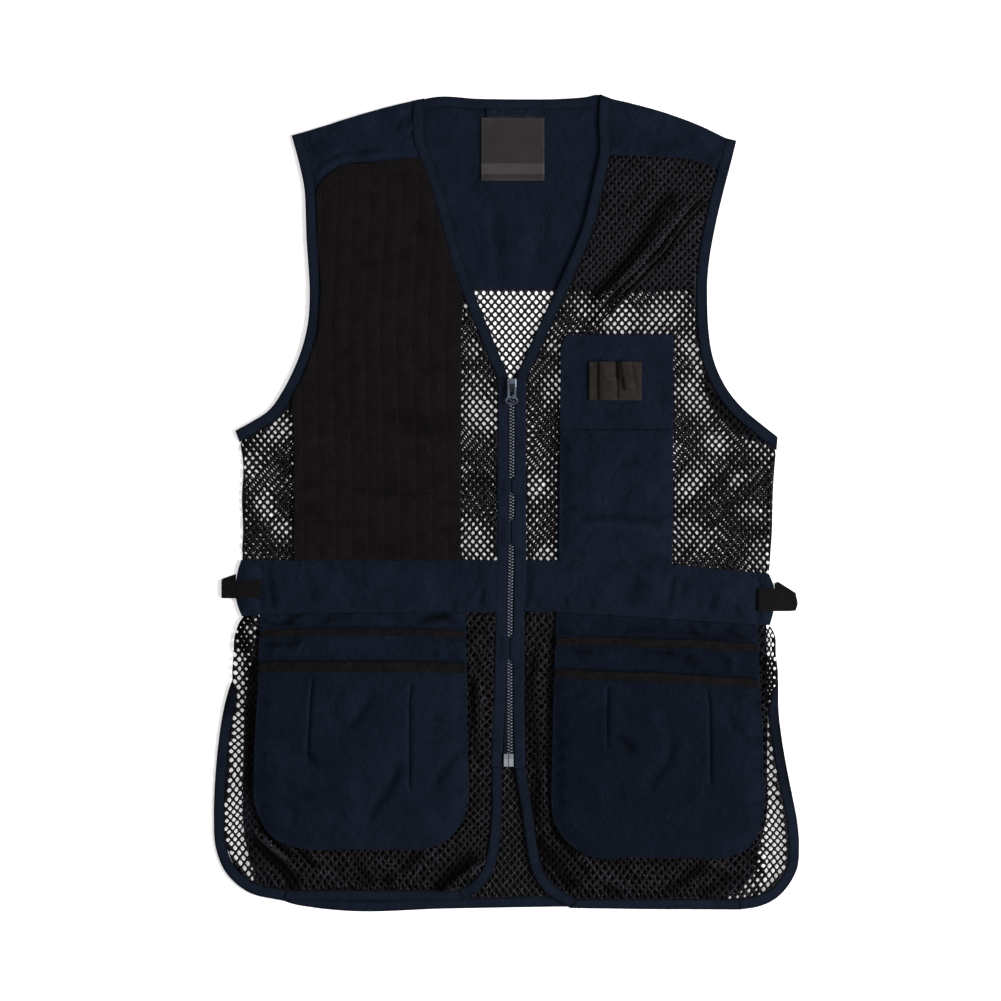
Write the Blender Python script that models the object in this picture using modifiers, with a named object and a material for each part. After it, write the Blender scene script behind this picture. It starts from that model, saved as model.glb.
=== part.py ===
"""Shooting vest, laid flat on its back with the front upwards.

A net body with cloth yokes, a cloth waistband, a quilted shooting patch, a chest pocket with
elastic loops, two double shell pockets with elastic mouths, a front zip and bound edges.
The back panels lie on the surface, the fronts lie on the back, and what is sewn on a front
lies on that front. +X is to the viewer's right, +Y to the neck, +Z up from the surface.
The tables and sizes are in millimetres.
"""
import math

import bmesh
import bpy
from mathutils import Matrix, Vector
from mathutils.geometry import delaunay_2d_cdt

MM = 0.001

# Cloth thicknesses and the spaces between pieces
SEAM = 0.3
REST_GAP = 0.4
NET = 1.0
CLOTH = 1.2
BAND = 1.6
BINDING = 1.8
TRIM = 1.0
WEBBING = 1.6
QUILT_SEAM = 1.6
QUILT_RISE = 1.5
QUILT_EDGE = 0.3
ZIP_CHAIN = 2.0
ZIP_BOX = 3.2
LABEL = 1.0

# Widths of the bound edges
ARMHOLE_BAND = 10.5
NECK_BAND = 10.5
HEM_BAND = 10.0

# Heights, from the surface, of the back's top and of the front's underside
BACK_LOW_TOP = 2.4
FRONT_REST_HIGH = 1.9
FRONT_REST_LOW = 3.0
FRONT_REST_EDGE = 0.5

# Rows where pieces of the back meet
BACK_YOKE_FOOT = 206.5
BACK_BAND_TOP = -72.0
BACK_BAND_FOOT = -106.5
LEDGE_START = 256.0
LEDGE_WIDTH = 22.0
LEDGE_TOP = -115.0
LEDGE_FOOT = -340.0
VENT_TOP = -172.0

# Pitches of the triangles, and how near two points may lie
FLAT = 0.0
COARSE = 40.0
MEDIUM = 26.0
FINE = 18.0
STRAP_STEP = 6.0
EDGE_STEP = 24.0
CLEAR_SHARE = 0.55
CUT_CLEAR = 0.5
NEAR_CORNER = 3.0
FOLD_FOOT = 1.3

# Quilted channels of the shooting patch
QUILT_PITCH = 15.6
QUILT_FIRST = -197.4
QUILT_HALVES = 20

# Outlines, each a table of x, y
ARMHOLE_LEFT = [(-208, 355), (-201.5, 331.5), (-195.5, 302.5), (-193.5, 254), (-190.5, 205.5),
                (-192.5, 171.5), (-200.5, 141.5), (-216, 108.5), (-231.5, 87.5), (-262.5, 69)]
ARMHOLE_RIGHT = [(222.5, 350), (218, 331.5), (208, 293), (199.5, 254), (194.5, 215.5),
                 (195.5, 167), (200.5, 137.5), (214, 108.5), (230.5, 89), (262.5, 63)]
ARMHOLE_SEWN_END = {"left": (-258.5, 58.5), "right": (261.5, 50.5)}
SHOULDER_LEFT = [(-208, 355), (-176, 364.5), (-147, 373.5), (-118, 382), (-89, 389), (-80, 391)]
SHOULDER_RIGHT = [(90.5, 395), (100.5, 391), (129.5, 384), (158.5, 375.5), (187.5, 364.5),
                  (222.5, 350)]
NECK_BACK = [(-80, 391), (-68.5, 393.5), (-25.5, 392), (13, 391.5), (52, 392), (76, 394),
             (86, 396), (90.5, 395)]
NECK_LEFT = [(-80, 391), (-80.5, 368.5), (-79, 350), (-70, 327), (-57.5, 288), (-50, 259),
             (-34.5, 210.5), (1.5, 122)]
NECK_RIGHT = [(90.5, 395), (89, 367.5), (90, 341.5), (80, 293), (74, 268.5), (56, 224), (9, 122)]
YOKE_SEAM_LEFT = [(-183, 304.5), (-176, 314.5), (-159.5, 326)]
YOKE_SEAM_RIGHT = [(149, 334.5), (187.5, 330)]
YOKE_SEAM_ENDS_LEFT = (293.0, 333.5)
YOKE_SEAM_ENDS_RIGHT = (322.0, 336.5)
SIDE_LEFT = [(-255.5, 40.5), (-256.5, 2), (-255.5, -27)]
SIDE_RIGHT = [(260.5, 40.5), (258.5, 11.5), (257.5, -27)]
WAIST_END_LEFT = [(-257, -56.5), (-260, -66), (-262, -80.5), (-262, -92), (-260, -101),
                  (-256, -110.5)]
WAIST_END_RIGHT = [(254.5, -70), (258.5, -80.5), (259.5, -95), (258.5, -105.5), (255, -119)]
BACK_BAND_LEFT = [(-257, BACK_BAND_TOP), (-257.5, BACK_BAND_FOOT)]
BACK_BAND_RIGHT = [(254.5, BACK_BAND_TOP), (257.5, BACK_BAND_FOOT)]
WAIST_SEAM_LEFT = [(-238, -56.5), (-238, -108.5)]
WAIST_SEAM_RIGHT = [(243, -69), (243, -118.5)]
WAIST_TOP_RIGHT = [(47, -57.3), (160.5, -61)]
WAIST_FOOT_RIGHT = (47, -106.3)
LOW_SIDE_LEFT = [(-260.5, -120), (-263.5, -130), (-264.5, -147)]
LOW_SIDE_RIGHT = [(259.5, -127), (261, -147)]
VENT_LEFT = [(-265.5, VENT_TOP), (-270.5, -187), (-275.5, -209), (-279, -233.5), (-282, -265),
             (-283.5, -303.5), (-281, -337.5), (-273, -357), (-264.5, -367), (-250, -377.5),
             (-216, -386)]
VENT_RIGHT = [(263, VENT_TOP), (263.5, -203.5), (266.5, -228.5), (271.5, -258), (277, -285),
              (281.5, -308.5), (283.5, -333), (281, -357), (276, -367), (268.5, -377),
              (257.5, -386), (246, -391), (226.5, -394.5)]
HEM_LEFT = [(-161.5, -386), (-84, -386)]
HEM_RIGHT = [(129.5, -394)]
HEM_TOP = {"left": -376.0, "right": -384.5}
FRONT_EDGE_LEFT = [(-4.5, -256), (-4.5, -300.5), (-8, -337.5), (-16, -363), (-27.5, -376.5),
                   (-42, -385)]
FRONT_EDGE_RIGHT = [(8, -258), (15, -300.5), (20, -337.5), (25.5, -360), (37.5, -377.5),
                    (61.5, -393)]
PLACKET_LEFT = [(-9, -56.5), (-10, -106.5), (-12, -192)]
PLACKET_RIGHT = [(19, -56.5), (17, -105.5), (17, -192)]
ZIP_EDGE_LEFT = [(0.5, 100), (0, -56.5), (-1, -106.5), (-2, -192)]
ZIP_EDGE_RIGHT = [(8.5, 100), (8, -56.5), (7, -106.5), (6.5, -192)]
BACK_SIDE_LEFT = [(-238.5, BACK_BAND_FOOT), (-247, -154), (-252.5, -189), (-255, -243.5),
                  (-255.5, -279.5), (-254.5, -318), (-251, -338), (-246.5, -353), (-237.5, -372)]
BACK_HEM = [(-237.5, -372), (-227.5, -380), (-213, -387.5), (-186.5, -393), (-156.5, -396),
            (-59.5, -394), (56.5, -392), (187.5, -390.5), (212, -385)]
BACK_SIDE_RIGHT = [(212, -385), (224.5, -376), (234.5, -365), (240.5, -353), (245, -333.5),
                   (250.5, -314), (252.5, -250), (253, -211.5), (251.5, BACK_BAND_FOOT)]
CHEST = [(57.5, 162), (53, 150.5), (49, -57.4), (160.5, -61), (161.5, 162)]
CHEST_POCKET = [(52, 69), (50.5, -55), (159.5, -59.5), (160, 69)]
LOOPS = [(80, 97), (130.5, 97), (130.5, 137), (80, 137)]
LOOP_SPANS = [(85.0, 104.6), (108.2, 127.0)]
LOOP_RISE = 3.0
CHEST_PUFF = 1.2
CHEST_EASE = 27.0
LABEL_BOX = [(-24.5, 311.5), (36.5, 311.5), (36.5, 372.5), (-24.5, 372.5)]
HANGER_BOX = [(-19, 372.5), (35.5, 372.5), (35.5, 380.5), (-19, 380.5)]
POCKET_LEFT = [(-239, -109), (-240.5, -180), (-244, -243), (-244, -289), (-238, -306.5),
               (-226.5, -324),
               (-208, -332.5), (-186, -336), (-81, -335.5), (-63.5, -330), (-52, -321),
               (-42, -306.5), (-37.5, -279.5), (-39.5, -107)]
POCKET_RIGHT = [(48, -107), (45, -192), (43, -289), (46, -309.5), (56, -326), (70.5, -337.5),
                (85, -343.5), (212, -343.5), (233.5, -334.5), (244, -318), (248, -300.5),
                (248, -244), (245, -181), (243, -119.3)]
PATCH_SIDE_TOP = 104.5
PATCH_SIDE = -206.0
PATCH_NECK_SIDE = -44.5
PATCH_NECK_TOP = 205.5
STRAP_OVER_LEFT = [(-276, -75.5), (-276, -93), (-238, -93), (-238, -75.5)]
STRAP_UNDER_LEFT = [(-275.5, -74.5), (-275.5, -93), (-262.5, -93), (-262.5, -70)]
STRAP_OVER_RIGHT = [(243.5, -84.5), (243.5, -105.5), (275, -105.5), (280, -105), (282, -98),
                    (280, -88), (262, -84)]
STRAP_UNDER_RIGHT = [(260.2, -79), (260.2, -103.5), (279.5, -103.5), (280, -88), (263.5, -77.5)]

STRAP_DROP_START = 259.0
STRAP_DROP = 16.0

# Mouths of the shell pockets: y at the pocket's left and right edge, and the trim's depth
MOUTHS_LEFT = {"inner": (-122.0, -122.5, 8.0), "outer": (-154.0, -154.5, 10.5)}
MOUTHS_RIGHT = {"inner": (-128.0, -136.5, 9.5), "outer": (-160.0, -170.5, 9.0)}
TRIM_INSET = 1.0

# Gentle swells of the front, with column names x, y, reach_x, reach_y, rise
SWELLS = [(-120, 110, 70, 110, 2.0),
          (120, 60, 65, 120, 2.0),
          (-140, -225, 75, 75, 1.6),
          (147, -230, 75, 75, 1.6)]

# Tucks of the outer shell pockets, with column names x, y_top, y_foot, side of the fold
TUCKS_LEFT = [(-189.5, -168, -250, -1), (-92.5, -170, -280, 1)]
TUCKS_RIGHT = [(98.5, -178, -245, -1), (194.5, -182, -275, 1)]
TUCK_RISE = 1.2
TUCK_WIDTH = 8.0
TUCK_EDGE = 0.8
TUCK_FADE = 50.0

# Swells of the pocket layers over their backing, and the way in which they reach them
INNER_SWELL = 0.9
OUTER_SWELL = 2.4
POCKET_EASE = 65.0

# Largest folds, with column names x0, y0, x1, y1, half_width, rise
NET_FOLDS_RIGHT = [(196, 310, 96, 192, 15, 2.2), (250, 8, 175, -30, 16, 1.4)]
NET_FOLDS_LEFT = [(-252, -12, -226, 42, 8, 1.2)]
LOW_FOLDS_LEFT = [(-265, -328, -190, -372, 8, 1.4), (-28, -340, -80, -374, 8, 1.5)]
LOW_FOLDS_RIGHT = [(30, -330, 90, -380, 8, 1.4), (250, -352, 160, -376, 7, 1.2)]
POCKET_FOLDS_LEFT = [(-170, -270, -110, -200, 16, 1.2), (-95, -300, -70, -230, 13, 1.3)]
POCKET_FOLDS_RIGHT = [(110, -215, 165, -265, 16, 1.2), (200, -300, 225, -210, 14, 1.2)]
CHEST_FOLDS = [(60, -19, 158, -23, 12, 1.0)]
PATCH_FOLDS = [(-200, 10, -60, 2, 12, 0.7), (-180, 150, -60, 165, 14, 0.6),
               (-190, 262, -70, 275, 13, 0.6)]

# Ends of the zip chain and the foot box below it
CHAIN_TOP = 119.0
CHAIN_FOOT = -243.5
ZIP_BOX_FOOT = -256.0
ZIP_BOX_LEFT = -2.6
ZIP_BOX_RIGHT = 6.9

# Zip slider and its pull tab
SLIDER_X = 5.2
SLIDER_Y = 113.0
SLIDER_FOOT = 4.4
SLIDER_SIZE = (8.6, 13.0, 2.0)
SLIDER_ROUND = 0.6
BRIDGE_WIDTH = 2.6
BRIDGE_LENGTH = 8.0
BRIDGE_HEIGHT = 3.2
BRIDGE_WALL = 1.1
BRIDGE_SINK = 0.6
PULL_CLEAR = 0.4
PULL_BAR = 0.65
PULL_WALL = 1.1
PULL_HALF = 4.1
PULL_WINDOW_HALF = 2.0
PULL_WINDOW = 8.2
PULL_TAIL = 0.45
PULL_RING_Y = 13.2
PULL_RING = (6.2, 4.3)
PULL_HOLE = (4.6, 2.8)
RING_STEPS = 20

NAVY = (0.0075, 0.0115, 0.0230)
NAVY_BINDING = (0.0090, 0.0140, 0.0285)
BLACK_NET = (0.0070, 0.0062, 0.0062)
SUEDE = (0.0090, 0.0075, 0.0080)
ELASTIC = (0.0260, 0.0210, 0.0170)
TRIM_BLACK = (0.0110, 0.0095, 0.0090)
WEBBING_BLACK = (0.0140, 0.0120, 0.0120)
CHARCOAL = (0.0300, 0.0270, 0.0240)
ZIP_GREY = (0.0500, 0.0630, 0.0900)

# Colour, roughness and metallic value of each finish
FINISHES = {
    "navy_cloth": (NAVY, 0.82, 0.0),
    "navy_binding": (NAVY_BINDING, 0.78, 0.0),
    "black_net": (BLACK_NET, 0.75, 0.0),
    "suede_patch": (SUEDE, 0.92, 0.0),
    "brown_elastic": (ELASTIC, 0.85, 0.0),
    "black_trim": (TRIM_BLACK, 0.80, 0.0),
    "black_webbing": (WEBBING_BLACK, 0.72, 0.0),
    "charcoal_label": (CHARCOAL, 0.70, 0.0),
    "zip_chain": (ZIP_GREY, 0.45, 0.0),
    "zip_metal": (ZIP_GREY, 0.35, 0.8),
}


def finish(name):
    """The material of one finish, made once."""
    if name in bpy.data.materials:
        return bpy.data.materials[name]
    colour, roughness, metallic = FINISHES[name]
    material = bpy.data.materials.new(name)
    material.use_nodes = True
    shader = material.node_tree.nodes["Principled BSDF"]
    shader.inputs["Base Color"].default_value = (*colour, 1.0)
    shader.inputs["Roughness"].default_value = roughness
    shader.inputs["Metallic"].default_value = metallic
    return material


def put_in_vest(name, mesh, material):
    """A new object of the vest, with its finish."""
    item = bpy.data.objects.new(name, mesh)
    item.data.materials.append(finish(material))
    VEST.objects.link(item)
    return item


def eased(value):
    """0 below 0, 1 above 1, and a smooth step between."""
    t = min(1.0, max(0.0, value))
    return t * t * (3.0 - 2.0 * t)


def smooth(points, step=EDGE_STEP):
    """A Catmull-Rom curve through the points, as runs of about one step."""
    first = tuple(2 * a - b for a, b in zip(points[0], points[1]))
    last = tuple(2 * a - b for a, b in zip(points[-1], points[-2]))
    knots = [first] + list(points) + [last]
    curve = []
    for a, b, c, d in zip(knots, knots[1:], knots[2:], knots[3:]):
        runs = max(1, round(math.dist(b, c) / step))
        for run in range(runs):
            t = run / runs
            curve.append(tuple(
                0.5 * (2 * q + (r - p) * t + (2 * p - 5 * q + 4 * r - s) * t ** 2
                       + (3 * q - p - 3 * r + s) * t ** 3)
                for p, q, r, s in zip(a, b, c, d)))
    return curve + [points[-1]]


def left_of(start, end):
    """The unit vector to the left of a run."""
    length = math.dist(start, end)
    return ((start[1] - end[1]) / length, (end[0] - start[0]) / length)


def parallel(points, distance, closed=False):
    """The curve moved sideways, to the left of its run, with mitred corners."""
    count = len(points)
    moved = []
    for i, (x, y) in enumerate(points):
        before = points[i - 1] if i or closed else None
        after = points[(i + 1) % count] if i < count - 1 or closed else None
        sides = [left_of(before, (x, y))] if before else []
        sides += [left_of((x, y), after)] if after else []
        nx = sum(side[0] for side in sides) / len(sides)
        ny = sum(side[1] for side in sides) / len(sides)
        reach = distance / max(0.25, nx * nx + ny * ny)
        moved.append((x + nx * reach, y + ny * reach))
    return moved


def cut(points, low=-math.inf, high=math.inf):
    """The stretch of a falling or rising curve between two heights, with its own points."""
    rising = points if points[0][1] < points[-1][1] else points[::-1]
    low, high = max(low, rising[0][1]), min(high, rising[-1][1])
    inner = [point for point in rising if low + CUT_CLEAR < point[1] < high - CUT_CLEAR]
    part = [at_height(rising, low)] + inner + [at_height(rising, high)]
    return part if rising is points else part[::-1]


def at_height(rising, y):
    """The point of a rising curve at a height, kept to its ends."""
    if y <= rising[0][1]:
        return rising[0]
    for (x0, y0), (x1, y1) in zip(rising, rising[1:]):
        if y <= y1:
            return (x0 + (x1 - x0) * (y - y0) / (y1 - y0), y)
    return rising[-1]


def height_on(line, x):
    """The height of a line that runs in +X, at x."""
    for (x0, y0), (x1, y1) in zip(line, line[1:]):
        if x0 <= x <= x1:
            return y0 + (y1 - y0) * (x - x0) / (x1 - x0)
    return line[-1][1]


def inset(outline, distance):
    """A closed outline drawn in by a distance, run anticlockwise."""
    pairs = list(zip(outline, outline[1:] + outline[:1]))
    area = sum(x0 * y1 - x1 * y0 for (x0, y0), (x1, y1) in pairs)
    ring = [start for start, end in pairs if math.dist(start, end) > 0.05]
    return parallel(ring if area > 0 else ring[::-1], distance, closed=True)


def divided(points, pitch):
    """The points of a run, with more between those that lie over a pitch apart."""
    run = points[:1]
    for start, end in zip(points, points[1:]):
        runs = max(1, round(math.dist(start, end) / pitch))
        run += [tuple(a + (b - a) * i / runs for a, b in zip(start, end))
                for i in range(1, runs + 1)]
    return run


def is_inside(ring, x, y):
    """Whether a point lies inside a ring."""
    crossings = 0
    for (x0, y0), (x1, y1) in zip(ring, ring[1:] + ring[:1]):
        if (y0 > y) != (y1 > y) and x < x0 + (x1 - x0) * (y - y0) / (y1 - y0):
            crossings += 1
    return crossings % 2 == 1


def lattice(ring, taken, pitch):
    """Points of a staggered grid inside a ring, clear of those that are taken."""
    low_x, high_x = min(x for x, _ in ring), max(x for x, _ in ring)
    low_y, high_y = min(y for _, y in ring), max(y for _, y in ring)
    points = []
    for row in range(math.floor(low_y / pitch), math.ceil(high_y / pitch) + 1):
        for column in range(math.floor(low_x / pitch), math.ceil(high_x / pitch) + 1):
            x, y = (column + 0.5 * (row % 2)) * pitch, row * pitch
            clear = all(math.dist((x, y), other) > CLEAR_SHARE * pitch for other in taken)
            if clear and is_inside(ring, x, y):
                points.append((x, y))
    return points


def sheet(outline, pitch, creases):
    """A flat sheet of triangles inside an outline, with edges along its creases."""
    ring = inset(outline, SEAM / 2)
    if pitch:
        ring = divided(ring + ring[:1], pitch)[:-1]
    points = list(ring)
    edges = [(i, (i + 1) % len(ring)) for i in range(len(ring))]
    for crease in creases:
        run = divided(crease, pitch)
        edges += [(len(points) + i, len(points) + i + 1) for i in range(len(run) - 1)]
        points += run
    if pitch:
        points += lattice(ring, points, pitch)
    verts, _, faces, _, _, _ = delaunay_2d_cdt([Vector(p) for p in points], edges, [], 1, 1e-4)
    mesh = bmesh.new()
    corners = [mesh.verts.new((vert.x, vert.y, 0.0)) for vert in verts]
    for face in faces:
        middle = [sum(verts[i][axis] for i in face) / len(face) for axis in (0, 1)]
        if is_inside(ring, *middle):
            mesh.faces.new([corners[i] for i in face])
    loose = [vert for vert in mesh.verts if not vert.link_faces]
    bmesh.ops.delete(mesh, geom=loose, context="VERTS")
    bmesh.ops.recalc_face_normals(mesh, faces=mesh.faces[:])
    return mesh


def nothing(x, y):
    """No relief."""
    return 0.0


def wall(name, outline, bottom, thickness, material, pitch=MEDIUM, creases=(), relief=nothing):
    """One closed piece of cloth: a sheet inside its outline, given its heights and thickness."""
    mesh = sheet(outline, pitch, creases)
    raised = bmesh.ops.extrude_face_region(mesh, geom=mesh.faces[:], use_keep_orig=True)
    upper = {item for item in raised["geom"] if isinstance(item, bmesh.types.BMVert)}
    for vert in mesh.verts:
        x, y = vert.co.x, vert.co.y
        z = bottom(x, y)
        if vert in upper:
            z += thickness + relief(x, y)
        vert.co = (x * MM, y * MM, z * MM)
    bmesh.ops.triangulate(mesh, faces=mesh.faces[:], quad_method="SHORT_EDGE")
    bmesh.ops.recalc_face_normals(mesh, faces=mesh.faces[:])
    data = bpy.data.meshes.new(name)
    mesh.to_mesh(data)
    mesh.free()
    return put_in_vest(name, data, material)


def ridges(table):
    """The relief of a table of folds, each highest along its middle."""
    def relief(x, y):
        total = 0.0
        for x0, y0, x1, y1, half_width, rise in table:
            run_x, run_y = x1 - x0, y1 - y0
            length = math.hypot(run_x, run_y)
            along = ((x - x0) * run_x + (y - y0) * run_y) / length
            across = ((x - x0) * run_y - (y - y0) * run_x) / length
            ends = eased(along / (0.3 * length)) * eased((length - along) / (0.3 * length))
            total += rise * ends * math.exp(-((across / half_width) ** 2))
        return total
    return relief


def fold_lines(table):
    """Creases along the middle and both feet of each fold of a table."""
    lines = []
    for x0, y0, x1, y1, half_width, _ in table:
        side_x, side_y = left_of((x0, y0), (x1, y1))
        for share in (-FOLD_FOOT, 0.0, FOLD_FOOT):
            move_x, move_y = side_x * half_width * share, side_y * half_width * share
            lines.append([(x0 + move_x, y0 + move_y), (x1 + move_x, y1 + move_y)])
    return lines


def front_rest(x, y):
    """The height of the front's underside over the surface."""
    low = eased((BACK_BAND_TOP - y) / (BACK_BAND_TOP - BACK_BAND_FOOT))
    height = FRONT_REST_HIGH + (FRONT_REST_LOW - FRONT_REST_HIGH) * low
    past_back = min(1.0, max(0.0, (abs(x) - LEDGE_START) / LEDGE_WIDTH))
    below_band = eased((LEDGE_TOP - y) / (LEDGE_TOP - VENT_TOP))
    height -= (FRONT_REST_LOW - FRONT_REST_EDGE) * past_back * below_band
    for centre_x, centre_y, reach_x, reach_y, rise in SWELLS:
        away = ((x - centre_x) / reach_x) ** 2 + ((y - centre_y) / reach_y) ** 2
        height += rise * math.exp(-away)
    return height


def on_front(level, relief=nothing):
    """Heights of an underside that lies a level above the front's own."""
    return lambda x, y: front_rest(x, y) + level + relief(x, y)


def flat(z):
    """Heights of a level underside."""
    return lambda x, y: z


def strip(outer, inner):
    """The outline between two edges that run the same way."""
    return list(outer) + list(inner)[::-1]


def armhole(side):
    """The outer and inner edge of an armhole binding, from the shoulder down."""
    if side == "left":
        outer = smooth(ARMHOLE_LEFT)
        inner = parallel(outer, ARMHOLE_BAND)
    else:
        outer = smooth(ARMHOLE_RIGHT)
        inner = parallel(outer, -ARMHOLE_BAND)
    return outer, inner[:-1] + [ARMHOLE_SEWN_END[side]]


def neckline(side):
    """The free and the sewn edge of a front neck binding, from the shoulder down."""
    if side == "left":
        free = smooth(NECK_LEFT)
        sewn = parallel(free, -NECK_BAND)
        sewn[0] = (sewn[0][0], height_on(SHOULDER_LEFT, sewn[0][0]))
        return free, sewn
    free = smooth(NECK_RIGHT)
    sewn = parallel(free, NECK_BAND)
    sewn[0] = (sewn[0][0], height_on(SHOULDER_RIGHT, sewn[0][0]))
    return free, sewn


def vent(side):
    """The outer and inner edge of the binding from a vent round to the hem."""
    if side == "left":
        outer = smooth(VENT_LEFT)
        inner = parallel(outer, HEM_BAND)
    else:
        outer = smooth(VENT_RIGHT)
        inner = parallel(outer, -HEM_BAND)
    return outer, [outer[0]] + inner[1:-1] + [(inner[-1][0], HEM_TOP[side])]


def front_edge(side):
    """The free and the sewn edge of the binding from the zip's foot to the hem."""
    if side == "left":
        free = smooth(FRONT_EDGE_LEFT)
        sewn = parallel(free, -HEM_BAND)
    else:
        free = smooth(FRONT_EDGE_RIGHT)
        sewn = parallel(free, HEM_BAND)
    return free, sewn[:-1] + [(sewn[-1][0], HEM_TOP[side])]


def build_back():
    """The back panels, which lie on the surface."""
    out_left, in_left = armhole("left")
    out_right, in_right = armhole("right")
    for side, outer, inner in (("left", out_left, in_left), ("right", out_right, in_right)):
        wall(f"back_armhole_binding_{side}", strip(outer, inner), flat(0.0), CLOTH,
             "navy_binding", pitch=FLAT)
    neck = smooth(NECK_BACK, step=40)
    neck_foot = parallel(neck, -NECK_BAND)
    wall("back_neck_binding", strip(neck, neck_foot), flat(0.0), BINDING, "navy_binding",
         pitch=FLAT)
    top_left = cut(in_left, low=BACK_YOKE_FOOT)
    top_right = cut(in_right, low=BACK_YOKE_FOOT)
    yoke = (top_left[::-1] + SHOULDER_LEFT[1:-1] + neck_foot + SHOULDER_RIGHT[1:-1] + top_right)
    wall("back_yoke", yoke, flat(0.0), CLOTH, "navy_cloth", pitch=FLAT)
    low_left = cut(in_left, high=BACK_YOKE_FOOT)
    low_right = cut(in_right, high=BACK_YOKE_FOOT)
    upper = (low_left + SIDE_LEFT + [BACK_BAND_LEFT[0], BACK_BAND_RIGHT[0]] + SIDE_RIGHT[::-1]
             + low_right[::-1])
    wall("back_net_upper", upper, flat(0.0), NET, "black_net", pitch=FLAT)
    ends_left, ends_right = [[point for point in ends if BACK_BAND_TOP > point[1] > BACK_BAND_FOOT]
                             for ends in (WAIST_END_LEFT, WAIST_END_RIGHT)]
    band = (BACK_BAND_LEFT[:1] + ends_left + [BACK_BAND_LEFT[1], BACK_BAND_RIGHT[1]]
            + ends_right[::-1] + BACK_BAND_RIGHT[:1])
    wall("back_waistband", band, flat(0.0), CLOTH, "navy_cloth", pitch=FLAT)

    rim = BACK_SIDE_LEFT + BACK_HEM[1:] + BACK_SIDE_RIGHT[1:]
    hem_start, hem_end = rim.index(BACK_HEM[0]), rim.index(BACK_HEM[-1])
    inside = parallel(rim, HEM_BAND)
    inside[0] = (inside[0][0], BACK_BAND_FOOT)
    inside[-1] = (inside[-1][0], BACK_BAND_FOOT)
    wall("back_pouch", inside, flat(0.0), NET, "navy_cloth", pitch=FLAT)
    wall("back_net_lower", inside, flat(NET + REST_GAP), NET, "black_net", pitch=FLAT)
    for name, first, last in (("back_side_binding_left", 0, hem_start),
                              ("back_hem_binding", hem_start, hem_end),
                              ("back_side_binding_right", hem_end, len(rim) - 1)):
        wall(name, strip(rim[first:last + 1], inside[first:last + 1]), flat(0.0), BACK_LOW_TOP,
             "navy_binding", pitch=FLAT)

    on_yoke = flat(CLOTH + SEAM)
    wall("neck_label", LABEL_BOX, on_yoke, LABEL, "charcoal_label", pitch=FLAT)
    wall("hanger_tape", HANGER_BOX, on_yoke, CLOTH, "navy_binding", pitch=FLAT)


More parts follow.
